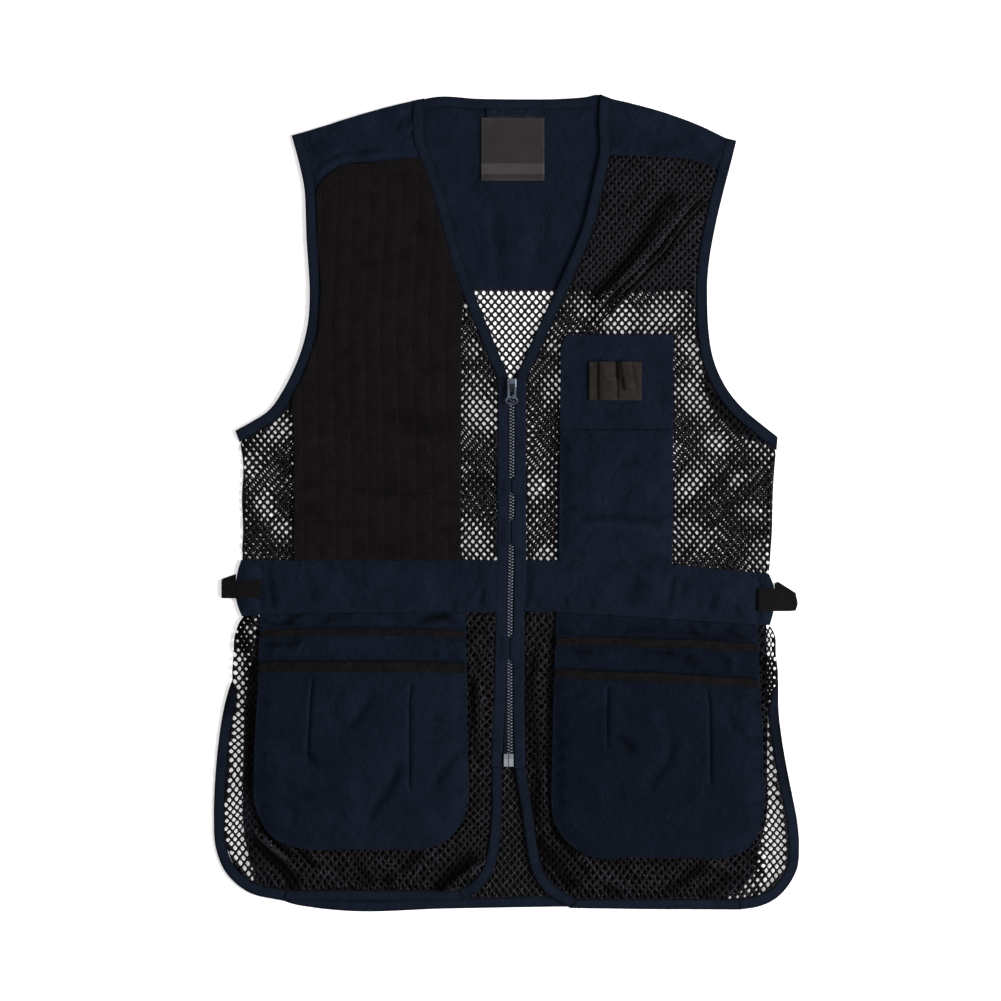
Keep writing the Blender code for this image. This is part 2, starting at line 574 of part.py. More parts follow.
def build_front(side):
    """One front: yoke, nets, waistband and its bound edges."""
    left = side == "left"
    outer, inner = armhole(side)
    free, sewn = neckline(side)
    seam_outside, seam_neck = YOKE_SEAM_ENDS_LEFT if left else YOKE_SEAM_ENDS_RIGHT
    seam = YOKE_SEAM_LEFT if left else YOKE_SEAM_RIGHT[::-1]
    shoulder = SHOULDER_LEFT[1:-1] if left else SHOULDER_RIGHT[1:-1][::-1]
    shoulder = [point for point in shoulder if abs(point[0] - sewn[0][0]) > NEAR_CORNER]
    edge_free, edge_sewn = front_edge(side)
    placket = PLACKET_LEFT if left else PLACKET_RIGHT

    wall(f"armhole_binding_{side}", strip(outer, inner), on_front(0.0), BINDING, "navy_binding",
         pitch=COARSE)
    wall(f"neck_binding_{side}", strip(free, sewn), on_front(0.0), BINDING, "navy_binding",
         pitch=COARSE)
    yoke_side = cut(inner, low=seam_outside)
    yoke_neck = cut(sewn, low=seam_neck)
    wall(f"shoulder_yoke_{side}", yoke_side[::-1] + shoulder + yoke_neck + seam[::-1],
         on_front(0.0), CLOTH, "navy_cloth", pitch=COARSE)

    side_line = SIDE_LEFT if left else SIDE_RIGHT
    ends = WAIST_END_LEFT if left else WAIST_END_RIGHT
    waist_seam = WAIST_SEAM_LEFT if left else WAIST_SEAM_RIGHT
    waist_top = [] if left else WAIST_TOP_RIGHT[::-1]
    waist_foot = [] if left else [WAIST_FOOT_RIGHT]
    net = (cut(inner, high=seam_outside) + side_line + [ends[0], waist_seam[0]] + waist_top
           + [placket[0]] + cut(sewn, high=seam_neck)[::-1] + seam[::-1])
    folds = NET_FOLDS_LEFT if left else NET_FOLDS_RIGHT
    wall(f"front_net_upper_{side}", net, on_front(0.0, ridges(folds)), NET, "black_net",
         creases=fold_lines(folds))
    wall(f"waistband_{side}", [waist_seam[0]] + waist_top + placket[:2] + waist_foot
         + [waist_seam[1]], on_front(0.0), BAND, "navy_cloth")
    wall(f"waist_side_{side}", list(ends) + waist_seam[::-1], on_front(0.0), BAND, "navy_cloth")

    low_side = LOW_SIDE_LEFT if left else LOW_SIDE_RIGHT
    vent_outer, vent_inner = vent(side)
    low = ([ends[-1]] + low_side + vent_inner + edge_sewn[::-1] + placket[:0:-1] + waist_foot
           + [waist_seam[1]])
    folds = LOW_FOLDS_LEFT if left else LOW_FOLDS_RIGHT
    ledge = -LEDGE_START if left else LEDGE_START
    wall(f"front_net_lower_{side}", low, on_front(0.0, ridges(folds)), NET, "black_net",
         creases=fold_lines(folds) + [[(ledge, LEDGE_TOP), (ledge, LEDGE_FOOT)]])
    wall(f"vent_binding_{side}", strip(vent_outer, vent_inner[1:]), on_front(0.0), BINDING,
         "navy_binding", pitch=COARSE)
    hem = [vent_outer[-1]] + (HEM_LEFT if left else HEM_RIGHT[::-1]) + [edge_free[-1]]
    wall(f"hem_binding_{side}", strip(hem, [vent_inner[-1], edge_sewn[-1]]), on_front(0.0),
         BINDING, "navy_binding", pitch=COARSE)
    wall(f"front_edge_binding_{side}", strip(edge_free, edge_sewn), on_front(0.0), BINDING,
         "navy_binding", pitch=COARSE)
    zip_edge = ZIP_EDGE_LEFT if left else ZIP_EDGE_RIGHT
    wall(f"placket_{side}", [sewn[-1]] + placket + [edge_sewn[0], edge_free[0]]
         + zip_edge[::-1] + [free[-1]], on_front(0.0), BAND, "navy_binding", pitch=COARSE)


def build_patch():
    """The quilted shooting patch on the front to the viewer's left."""
    _, inner = armhole("left")
    _, sewn = neckline("left")
    outside, neck = YOKE_SEAM_ENDS_LEFT
    foot = WAIST_SEAM_LEFT[0][1]
    outline = (cut(inner, PATCH_SIDE_TOP, outside) + [(PATCH_SIDE, foot), (PATCH_NECK_SIDE, foot)]
               + cut(sewn, PATCH_NECK_TOP, neck)[::-1] + YOKE_SEAM_LEFT[::-1])
    lines = [QUILT_FIRST + QUILT_PITCH * half / 2 for half in range(QUILT_HALVES)]

    def channels(x, y):
        phase = (x - QUILT_FIRST) / QUILT_PITCH
        puff = QUILT_RISE * abs(math.sin(math.pi * phase)) if x > QUILT_FIRST else QUILT_EDGE
        return puff + PATCH_RIDGES(x, y)

    wall("shooting_patch", outline, on_front(NET + REST_GAP), QUILT_SEAM, "suede_patch",
         pitch=COARSE, creases=[[(x, neck), (x, foot)] for x in lines] + fold_lines(PATCH_FOLDS),
         relief=channels)


def build_chest():
    """The chest panel, its pocket and the elastic loops on the front to the viewer's right."""
    panel_level = NET + REST_GAP
    wall("chest_panel", CHEST, on_front(panel_level), CLOTH, "navy_cloth")
    top_level = panel_level + CLOTH + REST_GAP
    (left, foot), (right, _) = CHEST_POCKET[1], CHEST_POCKET[2]
    folds = ridges(CHEST_FOLDS)

    def puff(x, y):
        across = eased((x - left) / CHEST_EASE) * eased((right - x) / CHEST_EASE)
        return across * (CHEST_PUFF * eased((y - foot) / CHEST_EASE) + folds(x, y))

    wall("chest_pocket", CHEST_POCKET, on_front(top_level, puff), CLOTH, "navy_cloth",
         pitch=FINE, creases=fold_lines(CHEST_FOLDS))

    def loops(x, y):
        return sum(LOOP_RISE * math.sin(math.pi * (x - start) / (end - start))
                   for start, end in LOOP_SPANS if start < x < end)

    lines = [start + (end - start) * share for start, end in LOOP_SPANS
             for share in (0.0, 0.25, 0.5, 0.75, 1.0)]
    (_, foot), (_, top) = LOOPS[0], LOOPS[2]
    wall("elastic_loops", LOOPS, on_front(top_level, loops), CLOTH, "brown_elastic",
         pitch=COARSE, creases=[[(x, foot), (x, top)] for x in lines])


def build_shell_pocket(side):
    """One double shell pocket: backing, inner and outer layer, and the elastic mouths."""
    left = side == "left"
    outline = POCKET_LEFT if left else POCKET_RIGHT
    mouths = MOUTHS_LEFT if left else MOUTHS_RIGHT
    tucks = TUCKS_LEFT if left else TUCKS_RIGHT
    fold_table = POCKET_FOLDS_LEFT if left else POCKET_FOLDS_RIGHT
    folds = ridges(fold_table)
    start, end = min(x for x, _ in outline), max(x for x, _ in outline)
    foot = min(y for _, y in outline)

    def swell(rise):
        def height(x, y):
            side = min(x - start, end - x)
            return rise * eased(side / POCKET_EASE) * eased((y - foot) / POCKET_EASE)
        return height

    def tucked(x, y):
        total = 0.0
        for tuck_x, top, tuck_foot, toward in tucks:
            away = (x - tuck_x) * toward
            if 0.0 < away < TUCK_WIDTH:
                fade = eased((y - tuck_foot) / TUCK_FADE)
                total += TUCK_RISE * fade * (1.0 - away / TUCK_WIDTH)
        return total

    def below(layer):
        """The pocket's outline from a mouth down."""
        mouth_left, mouth_right, _ = mouths[layer]
        first = at_height(outline[:3][::-1], mouth_left)
        last = at_height(outline[-3:], mouth_right)
        return [first] + outline[1:-1] + [last]

    level = NET + REST_GAP
    wall(f"pocket_backing_{side}", outline, on_front(level), NET, "navy_cloth", pitch=COARSE)
    level += NET + REST_GAP
    inner_swell, outer_swell = swell(INNER_SWELL), swell(OUTER_SWELL)
    wall(f"pocket_inner_{side}", below("inner"), on_front(level, inner_swell), CLOTH,
         "navy_cloth")
    build_trim(f"pocket_trim_inner_{side}", below("inner"), mouths["inner"],
               on_front(level + CLOTH + SEAM, inner_swell))
    level += CLOTH + REST_GAP

    def outer_relief(x, y):
        return outer_swell(x, y) + folds(x, y) * eased((y - foot) / TUCK_FADE)

    lines = [[(tuck_x + offset * toward, top), (tuck_x + offset * toward, tuck_foot)]
             for tuck_x, top, tuck_foot, toward in tucks for offset in (0, TUCK_EDGE, TUCK_WIDTH)]
    wall(f"pocket_outer_{side}", below("outer"), on_front(level, outer_relief), CLOTH,
         "navy_cloth", creases=lines + fold_lines(fold_table), relief=tucked)
    build_trim(f"pocket_trim_outer_{side}", below("outer"), mouths["outer"],
               on_front(level + CLOTH + TUCK_RISE + SEAM, outer_relief))


def build_trim(name, pocket, mouth, heights):
    """The elastic binding along one pocket mouth."""
    (x0, y0), (x1, y1), depth = pocket[0], pocket[-1], mouth[2]
    start, end = x0 + TRIM_INSET, x1 - TRIM_INSET
    outline = [(start, y0), (end, y1), (end, y1 - depth), (start, y0 - depth)]
    wall(name, outline, heights, TRIM, "black_trim")


def build_straps():
    """The webbing at the ends of the waistband: one stretch over the front, one behind it."""
    def over(x, y):
        past = eased((abs(x) - STRAP_DROP_START) / STRAP_DROP)
        high = front_rest(x, y) + BAND + REST_GAP
        return high * (1.0 - past) + (WEBBING + SEAM) * past

    for side, over_outline, under_outline in (("left", STRAP_OVER_LEFT, STRAP_UNDER_LEFT),
                                              ("right", STRAP_OVER_RIGHT, STRAP_UNDER_RIGHT)):
        wall(f"strap_over_{side}", over_outline, over, WEBBING, "black_webbing",
             pitch=STRAP_STEP)
        wall(f"strap_under_{side}", under_outline, flat(0.0), WEBBING, "black_webbing",
             pitch=FLAT)


def block(name, size, centre, material, owner):
    """A box of a size in millimetres, round its centre."""
    mesh = bmesh.new()
    bmesh.ops.create_cube(mesh, size=1.0)
    for vert in mesh.verts:
        vert.co = [c * s * MM for c, s in zip(vert.co, size)]
    data = bpy.data.meshes.new(name)
    mesh.to_mesh(data)
    mesh.free()
    item = bpy.data.objects.new(name, data)
    item.data.materials.append(finish(material))
    item.location = [c * MM for c in centre]
    owner.objects.link(item)
    return item


def joined(item, tool, operation):
    """Joins a tool to an item, or cuts it out, and leaves the tool out of the vest."""
    tool.hide_render = True
    tool.display_type = "WIRE"
    boolean = item.modifiers.new(tool.name, "BOOLEAN")
    boolean.operation = operation
    boolean.object = tool


def build_slider():
    """The zip slider: a plate over the chain, with the bridge that holds the pull tab."""
    top = SLIDER_FOOT + SLIDER_SIZE[2]
    slider = block("zip_slider", SLIDER_SIZE, (SLIDER_X, SLIDER_Y, (SLIDER_FOOT + top) / 2),
                   "zip_metal", VEST)
    bevel = slider.modifiers.new("rounded", "BEVEL")
    bevel.width = SLIDER_ROUND * MM
    bevel.segments = 2
    height = BRIDGE_HEIGHT + BRIDGE_SINK
    arch = block("bridge", (BRIDGE_WIDTH, BRIDGE_LENGTH, height),
                 (SLIDER_X, SLIDER_Y, top + BRIDGE_HEIGHT - height / 2), "zip_metal", TOOLS)
    hollow_height = BRIDGE_HEIGHT - BRIDGE_WALL
    under = block("bridge_hollow", (3 * BRIDGE_WIDTH, BRIDGE_LENGTH - 2 * BRIDGE_WALL,
                                    hollow_height + 2 * BRIDGE_SINK),
                  (SLIDER_X, SLIDER_Y, top + hollow_height / 2 - BRIDGE_SINK), "zip_metal", TOOLS)
    joined(arch, under, "DIFFERENCE")
    joined(slider, arch, "UNION")


def build_pull():
    """The pull tab: two rails, a ring at the end and the bar under the slider's bridge."""
    height = SLIDER_FOOT + SLIDER_SIZE[2] + PULL_CLEAR + PULL_BAR
    length = BRIDGE_LENGTH / 2 - BRIDGE_WALL - PULL_CLEAR - PULL_BAR
    place = (SLIDER_X * MM, (SLIDER_Y - length) * MM, height * MM)
    start = -math.acos(PULL_HALF / PULL_RING[0])
    turn = math.pi - 2 * start
    angles = [start + turn * step / RING_STEPS for step in range(RING_STEPS + 1)]
    ring = [(PULL_RING[0] * math.cos(angle), -PULL_RING_Y - PULL_RING[1] * math.sin(angle))
            for angle in angles]
    frame = ([(PULL_HALF, PULL_TAIL)] + ring
             + [(-PULL_HALF, PULL_TAIL), (-PULL_WINDOW_HALF, PULL_TAIL),
                (-PULL_WINDOW_HALF, -PULL_WINDOW), (PULL_WINDOW_HALF, -PULL_WINDOW),
                (PULL_WINDOW_HALF, PULL_TAIL)])
    angles = [math.tau * step / RING_STEPS for step in range(RING_STEPS)]
    hole = [(PULL_HOLE[0] * math.cos(angle), -PULL_RING_Y + PULL_HOLE[1] * math.sin(angle))
            for angle in angles]
    curve = bpy.data.curves.new("zip_pull_outline", "CURVE")
    curve.dimensions = "2D"
    curve.fill_mode = "BOTH"
    curve.extrude = PULL_WALL / 2 * MM
    for points in (frame, hole):
        spline = curve.splines.new("POLY")
        spline.points.add(len(points) - 1)
        for point, (x, y) in zip(spline.points, points):
            point.co = (x * MM, y * MM, 0.0, 1.0)
        spline.use_cyclic_u = True
    outline = bpy.data.objects.new("zip_pull_outline", curve)
    TOOLS.objects.link(outline)
    bpy.context.view_layer.update()
    solid = outline.evaluated_get(bpy.context.evaluated_depsgraph_get())
    data = bpy.data.meshes.new_from_object(solid)
    bpy.data.objects.remove(outline, do_unlink=True)
    mesh = bmesh.new()
    mesh.from_mesh(data)
    bmesh.ops.remove_doubles(mesh, verts=mesh.verts[:], dist=0.01 * MM)
    bmesh.ops.recalc_face_normals(mesh, faces=mesh.faces[:])
    mesh.to_mesh(data)
    mesh.free()
    data.materials.clear()
    pull = put_in_vest("zip_pull", data, "zip_metal")
    pull.location = place

    mesh = bmesh.new()
    bmesh.ops.create_cone(mesh, cap_ends=True, segments=12, radius1=PULL_BAR * MM,
                          radius2=PULL_BAR * MM, depth=(PULL_HALF + PULL_WINDOW_HALF) * MM)
    bmesh.ops.rotate(mesh, verts=mesh.verts[:], matrix=Matrix.Rotation(math.pi / 2, 3, "Y"))
    bar_data = bpy.data.meshes.new("pull_bar")
    mesh.to_mesh(bar_data)
    mesh.free()
    bar = bpy.data.objects.new("pull_bar", bar_data)
    TOOLS.objects.link(bar)
    bar.location = place
    joined(pull, bar, "UNION")


def build_zip():
    """The zip chain between the plackets and its foot box."""
    left = [(NECK_LEFT[-1][0], CHAIN_TOP)] + ZIP_EDGE_LEFT + [(ZIP_BOX_LEFT, CHAIN_FOOT)]
    right = [(NECK_RIGHT[-1][0], CHAIN_TOP)] + ZIP_EDGE_RIGHT + [(ZIP_BOX_RIGHT, CHAIN_FOOT)]
    wall("zip_chain", strip(left, right), on_front(0.0), ZIP_CHAIN, "zip_chain", pitch=COARSE)
    foot = [(ZIP_BOX_LEFT, CHAIN_FOOT), (ZIP_BOX_LEFT, ZIP_BOX_FOOT),
            (ZIP_BOX_RIGHT, ZIP_BOX_FOOT), (ZIP_BOX_RIGHT, CHAIN_FOOT)]
    wall("zip_box", foot, on_front(0.0), ZIP_BOX, "zip_metal", pitch=COARSE)


PATCH_RIDGES = ridges(PATCH_FOLDS)

for old in list(bpy.data.objects):
    bpy.data.objects.remove(old, do_unlink=True)
VEST = bpy.data.collections.new("shooting_vest")
TOOLS = bpy.data.collections.new("tools")
for group in (VEST, TOOLS):
    bpy.context.scene.collection.children.link(group)

build_back()
build_front("left")
build_front("right")
build_patch()
build_chest()
build_shell_pocket("left")
build_shell_pocket("right")
build_straps()
build_zip()
build_slider()
build_pull()
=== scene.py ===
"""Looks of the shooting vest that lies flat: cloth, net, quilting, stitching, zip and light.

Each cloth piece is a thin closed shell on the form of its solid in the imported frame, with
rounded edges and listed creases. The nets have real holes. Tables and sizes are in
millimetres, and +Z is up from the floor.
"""
import math

import bpy
import numpy as np
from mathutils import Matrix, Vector, noise
from mathutils.bvhtree import BVHTree
from mathutils.geometry import delaunay_2d_cdt


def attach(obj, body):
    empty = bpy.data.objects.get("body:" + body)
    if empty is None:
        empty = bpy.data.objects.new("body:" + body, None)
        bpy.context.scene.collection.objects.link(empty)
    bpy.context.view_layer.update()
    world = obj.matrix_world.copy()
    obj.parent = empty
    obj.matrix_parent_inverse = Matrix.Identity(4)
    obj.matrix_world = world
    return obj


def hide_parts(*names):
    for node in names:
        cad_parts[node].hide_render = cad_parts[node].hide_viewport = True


MM = 0.001
VEST = "vest"
SIDES = ("left", "right")
DOWN = Vector((0.0, 0.0, -1.0))

# How a solid's faces are read, and how its heights are smoothed
FACING = 0.1
READ_FROM = 60.0
GRID = 5.0
GRID_MARGIN = 10.0
SMOOTHING = 4
CHUNK = 1500
CORNER = math.radians(40)
SEAM_REACH = 0.35
MITRE_LIMIT = 0.3
MIN_WALL = 0.5

# Points of a piece: how far apart they are, and how far lines of them keep clear of others
PITCH = 3.2
STRIP_PITCH = 2.4
COARSE_PITCH = 6.0
HIDDEN_PITCH = 4.5
HANGER_PITCH = 2.0
LOOP_PITCH = 1.0
GUIDE = 1.1
GUIDE_STEP = 0.8
KEPT_CLEAR = 0.93
LATTICE_GAP = 0.6

# Cut pieces: their narrowest side, and the share of its box below which one is a strip
NARROWEST_CUT = 10.0
STRIP_FILL = 0.45

# Edge of a piece of cloth, with column names inset, share of the height above, and below
ROUNDED = [(0.0, 0.25, 0.25), (0.25, 0.68, 0.68), (0.8, 0.93, 0.93), (1.7, 1.0, 1.0)]
TOPSTITCHED = [(0.0, 0.25, 0.25), (0.25, 0.68, 0.68), (0.8, 0.95, 0.95), (1.5, 1.0, 1.0),
               (2.2, 0.62, 1.0), (2.9, 0.97, 1.0), (4.0, 1.0, 1.0)]
BOUND = [(0.0, 0.20, 0.20), (0.3, 0.62, 0.62), (1.2, 0.92, 0.95), (2.6, 1.0, 1.0)]
# Painted shade along both edges of a bound edge: how much darker, and how far in
EDGE_SHADE_DEPTH = 0.7
EDGE_SHADE_WIDTH = 1.4

# Creases, puckers at seams and the room under a layer that lies on the cloth
CREASE_GAIN = 2.4
CREASE_EASE = 0.3
FOLD_REACH = 3.0
LAYER_GAIN = -3.0
PUCKER_LENGTH = 2.5
PUCKER_SEED = 3.7
PRESSED_RISE = 0.15
FREE_RISE = 3.5
FREE_EASE = 2.5

# How strongly a piece's creases are painted darker and its ridges lighter, as painted shade and
# highlight, and how far a piece puffs up and from how far in
CREASE_SHADE = {"back_yoke": 0.3, "shoulder_yoke": 0.45, "waist": 0.3, "pocket_backing": 0.55,
                "pocket_inner": 0.55, "pocket_outer": 0.2, "shooting_patch": 0.45,
                "chest_panel": 0.25, "chest_pocket": 0.35}
PUFFS = {"yoke": (0.9, 12.0), "waist": (1.6, 10.0), "pocket": (3.0, 16.0), "chest": (2.2, 12.0)}

# Heights above which a pocket's layers lie free, and its cloth, the right one painted darker as
# shade
BACKING_FREE = {"left": -126.0, "right": -139.0}
INNER_FREE = {"left": -157.0, "right": -170.0}
POCKET_FINISH = {"left": "pocket_cloth", "right": "shaded_cloth"}

# Tucks of the outer shell pockets: shift, widths left and right and rise of trough and ridge
TUCK = [(0.0, 0.7, 0.9, -0.9), (2.8, 4.0, 1.7, 0.15)]
TUCK_EASE = 0.08
TUCKS = {
    "left": [[(-186.5, -167), (-189, -194), (-192, -246.5)],
             [(-91.5, -171.5), (-93.5, -194), (-93.5, -279.5)]],
    "right": [[(98, -176.5), (97, -203.5), (97.5, -238.5)],
              [(193.5, -178.5), (196, -197), (197, -274.5)]],
}

# Elastic mouths of the pockets: how thin they are drawn, and how they bow and swell
TRIM_THIN = {"inner": 0.78, "outer": 0.9}
TRIM_BOW = {"inner": 2.4, "outer": 1.0}
TRIM_MIDDLE = 0.4
TRIM_WAVE = 0.9
TRIM_SWELLS = (22.0, 30.0)
TRIM_SEED = 8.0

# Stitches: a stitch is a double cone, with its ends, its sides, its top and its foot
STITCH = 2.3
STITCH_GAP = 0.8
STITCH_WIDTH = 0.5
STITCH_RISE = 0.22
STITCH_FACES = [(0, 2, 4), (2, 1, 4), (1, 3, 4), (3, 0, 4), (2, 0, 5), (1, 2, 5), (3, 1, 5),
                (0, 3, 5)]
QUILT_STITCH = 1.8
QUILT_GAP = 2.1
QUILT_WIDTH = 0.75
LABEL_STITCH = 1.0
LABEL_GAP = 1.6

# Seams: how far in from an edge they lie, which pieces have them, and between which places
STITCH_INSET = 2.2
BINDING_INSET = 1.5
LABEL_INSET = 1.3
YOKE_HEM = 6.0
SEWN_ROUND = ("shoulder_yoke", "waist", "pocket_outer", "pocket_inner", "pocket_backing",
              "chest")
YOKE_SEAMS = [("shoulder_yoke_left", (-188, 295), (-76, 333)),
              ("shoulder_yoke_right", (99, 336), (212, 322))]
STRAIGHT_SEAMS = [("shoulder_yoke_right", (101.4, 389), (101.4, 340)),
                  ("chest_pocket", (52, 55.3), (160, 55.3))]
# Strips that are sewn along one side, and a place on that side, for the right of the vest
LONG_SEAMS = [("armhole_binding", 0, 200), ("back_armhole_binding", 0, 200),
              ("neck_binding", 200, 250), ("hem_binding", 150, -200),
              ("front_edge_binding", 150, -300), ("vent_binding", 150, -250),
              ("placket", 60, 0)]

# Net: a lattice of holes in offset rows, between ridges of yarn
NET_PITCH = (7.24, 8.44)
NET_MARGIN = 4
NET_HOLES = {"front_net_upper": (2.0, 2.3), "front_net_lower": (1.3, 1.5),
             "back_net": (2.0, 2.3)}
NET_HOLE_DIAGONAL = 0.6
NET_RIDGE = 0.28
NET_EDGE_CLEAR = 0.9
# Finishes of the nets: the back net's is painted lighter, as painted light against the shade it
# lies in under the fronts
NET_FINISH = {"front": "black_net", "back": "lightened_back_net"}

# Height above which a net lies slack, and what its holes shrink to there
NET_SLACK_Y = 206.0
NET_SLACK = 0.44
SLACK_EASE = 8.0
# Strip of the lower nets beside the vents, and how much larger their holes are there
NET_STRIP_X = 246.0
NET_STRIP = 1.57
STRIP_EASE = 4.0
# Unevenness of the holes, and how far they close where a fold has painted shade
NET_UNEVEN = {"front_net_upper": 0.4, "front_net_lower": 0.9, "back_net": 0.2}
NET_CLOSING = 0.6
CLOSED_HOLE = 0.3
HOLE_RANGE = (0.55, 1.25)
HOLE_SWELLS = (0.37, 0.29)
HOLE_SEED = 9.0

# Drift of a net's holes sideways and up, its rise and fall, and how its folds fade out
NET_SEEDS = {"front_net_upper_right": 1.0, "front_net_upper_left": 2.0, "back_net_upper": 3.0,
             "front_net_lower_left": 4.0, "front_net_lower_right": 5.0, "back_net_lower": 6.0}
SECOND_SEED = 20.0
NET_WANDER = {"front_net_upper": 3.0, "front_net_lower": 5.0, "back_net_upper": 0.8,
              "back_net_lower": 2.0}
NET_WANDER_SCALE = 45.0
NET_SLIP = {"front_net_upper_left": 3.3, "front_net_upper_right": 2.7}
NET_SWELL_SCALE = 40.0
NET_SWELL = {"front": 0.6, "back": 0.15}
NET_EASE = 0.2
ZONE_HOLD = 0.5
NET_FOLD_EASE = 0.15
# How a net's painted shade fades at the ends of its folds, and the range of every piece's
# painted shade
NET_SHADE_EASE = 0.12
PAINTED_SHADE_RANGE = (0.05, 3.0)

# Strips of painted shadow and painted highlight along the nets' folds
EDGE_WIDTH = {"fold_shadow": 1.9, "fold_highlight": 1.1}
EDGE_LIFT = {"fold_shadow": 2.4, "fold_highlight": 0.3}
EDGE_RISE = 0.25
EDGE_STEP = 1.5
EDGE_TAPER = 6.0

# Quilting of the shooting patch
QUILT_FIRST = -197.4
QUILT_PITCH = 15.6
QUILT_LINES = 10
QUILT_PUFF = 0.5
QUILT_FULLNESS = 0.6
QUILT_SUNK = 0.75
QUILT_Y = (-58.0, 0.0, 21.0, 99.0, 172.0, 225.0, 280.0, 330.0)
QUILT_DRIFT = (0.0, 0.0, 0.0, -2.4, -4.4, -1.5, 1.5, 2.0)
QUILT_TOP = 318.0
QUILT_FOOT = -55.0
QUILT_STEP = 4.0

# Zip: rows of teeth on a tape, and where the plackets' edges lie over them
ZIP_Y = (-243.5, -192.0, -150.0, -106.5, -56.5, 0.0, 94.0, 119.0)
ZIP_X = (3.1, 3.0, 2.9, 3.1, 4.1, 4.8, 5.0, 5.2)
TAPE_WALL = 0.8
TOOTH_TOP = 105.0
TOOTH_FOOT = -243.0
TOOTH_PERIOD = 3.0
TOOTH_LENGTH = 2.7
TOOTH_WIDTH = 1.15
TOOTH_BLUNT = 0.45
TOOTH_SHOULDER = 0.8
TOOTH_TURN = math.radians(24)
TOOTH_OUT = 1.35
TOOTH_LOW = 0.7
TOOTH_HIGH = 1.75
TOOTH_COVERED = 1.1
TOOTH_BEVEL = 0.35
TOOTH_CROWN = 0.66
LIPS = [(26.0, 5.0), (-14.0, -45.0), (-127.0, -157.0)]
LIP_EASE = 5.0
LIP_REACH = {"left": 3.7, "right": -3.2}
LIP_RISE = 1.0
LIP_FAR = 10.0
LIP_BLEND = 4.0

# Back edge of the right armhole: the heights between which it lies further in
ARMHOLE_SLACK = (140.0, 52.0)
ARMHOLE_FADE = (40.0, 18.0)
ARMHOLE_SHIFT = np.array([-7.5, -6.5])

# Back edge of the neck: how much wider and lower it is drawn
NECK_STRETCH = 1.035
NECK_DROP = 1.2

# Elastic loops: each with its sides at the upper and at the lower height, and its foot
LOOPS = [((89.0, 104.9), (89.0, 106.3), 96.0), ((109.6, 120.0), (113.6, 127.2), 107.0)]
LOOP_Y = (134.8, 110.6)
LOOP_RISE = 2.4
LOOP_FULLNESS = 0.3
LOOP_EASE = 2.0
LOOP_SEAM = 88.6
SEAM_DEPTH = 0.6
SEAM_WIDTH = 0.6
LOOP_MIDDLE = 117.3
LOOP_SHRINK = 0.93

# Cloth grain, slubs and crumples, and where the dark and the light tone of a finish stop
GRAIN = 1.3
SLUB = 2.5
CRUMPLE_SIZE = 14.0
WEAVE_DEPTH = 0.3
NAP_DEPTH = 0.4
CLOTH_SPECULAR = 0.04
TONE_STOPS = (0.38, 0.62)
# Painted shade between a net's yarns: their size, and how dark the gaps and how light the yarn
KNIT = 2.4
KNIT_GAP_SHADE = {"From Min": 0.15, "From Max": 0.6, "To Min": 1.5, "To Max": 0.3}

# Woven finishes: dark and light tone in thousandths, roughness, thread, bump, and the rest
WEAVES = {
    "navy_cloth": ((2.8, 5.4, 11.5), (5.6, 9.4, 19.0), 0.85, 0.7, 0.5,
                   {"sheen": 0.015, "crumple": 2.0}),
    "pocket_cloth": ((2.4, 4.7, 10.3), (4.9, 8.3, 17.2), 0.85, 0.7, 0.5,
                     {"sheen": 0.015, "crumple": 2.0}),
    # The right pocket's cloth: a copy of the pocket cloth painted darker, as painted shade
    "shaded_cloth": ((1.8, 3.6, 8.3), (3.6, 6.4, 13.9), 0.85, 0.7, 0.5,
                     {"sheen": 0.012, "crumple": 2.0}),
    "navy_binding": ((3.6, 6.2, 12.8), (6.6, 10.3, 20.5), 0.82, 0.6, 0.45,
                     {"sheen": 0.015, "angle": 45.0, "crumple": 1.2}),
    # The pouch: a copy of the navy cloth painted darker, as painted shade where it shows through
    # the nets
    "shaded_pouch_cloth": ((3.0, 3.4, 4.2), (4.4, 4.9, 6.0), 0.9, 0.7, 0.3, {}),
    "black_net": ((7.0, 6.6, 8.2), (20.5, 18.8, 22.6), 0.6, 0.45, 0.35, {"patch": 4.0}),
    # The back net: painted lighter than the front net, as painted light where it lies in the
    # fronts' shade
    "lightened_back_net": ((12.0, 11.4, 12.6), (44.0, 41.5, 44.0), 0.6, 0.45, 0.35, {"patch": 4.0}),
    # Painted shadow and painted highlight for the strips along the nets' folds
    "fold_shadow": ((0.8, 0.8, 1.0), (2.2, 2.0, 2.6), 0.9, 0.5, 0.3, {"patch": 4.0}),
    "fold_highlight": ((9.0, 8.5, 10.0), (23.0, 21.5, 25.0), 0.7, 0.5, 0.4, {"patch": 4.0}),
    "brown_elastic": ((13.5, 11.2, 9.8), (27.0, 22.6, 20.2), 0.85, 0.9, 0.6,
                      {"patch": 8.0, "rib": 0.3}),
    "black_trim": ((2.8, 2.6, 3.0), (7.0, 5.6, 5.4), 0.8, 0.8, 0.5, {"patch": 7.0, "rib": 0.3}),
    "black_webbing": ((3.6, 3.3, 3.4), (6.6, 6.0, 6.2), 0.75, 1.2, 0.8, {"patch": 6.0}),
    "charcoal_label": ((22.0, 19.5, 20.5), (30.0, 27.0, 28.5), 0.6, 0.35, 0.25,
                       {"patch": 20.0}),
    "zip_tape": ((4.5, 6.0, 11.0), (6.5, 8.5, 15.0), 0.8, 0.6, 0.5, {}),
    "navy_thread": ((7.0, 11.0, 21.0), (11.0, 16.5, 30.0), 0.6, 0.3, 0.3, {}),
    "quilt_thread": ((24.0, 19.0, 16.5), (43.0, 34.0, 30.0), 0.6, 0.3, 0.3, {}),
    "label_thread": ((120.0, 115.0, 115.0), (200.0, 190.0, 190.0), 0.6, 0.3, 0.3, {}),
}
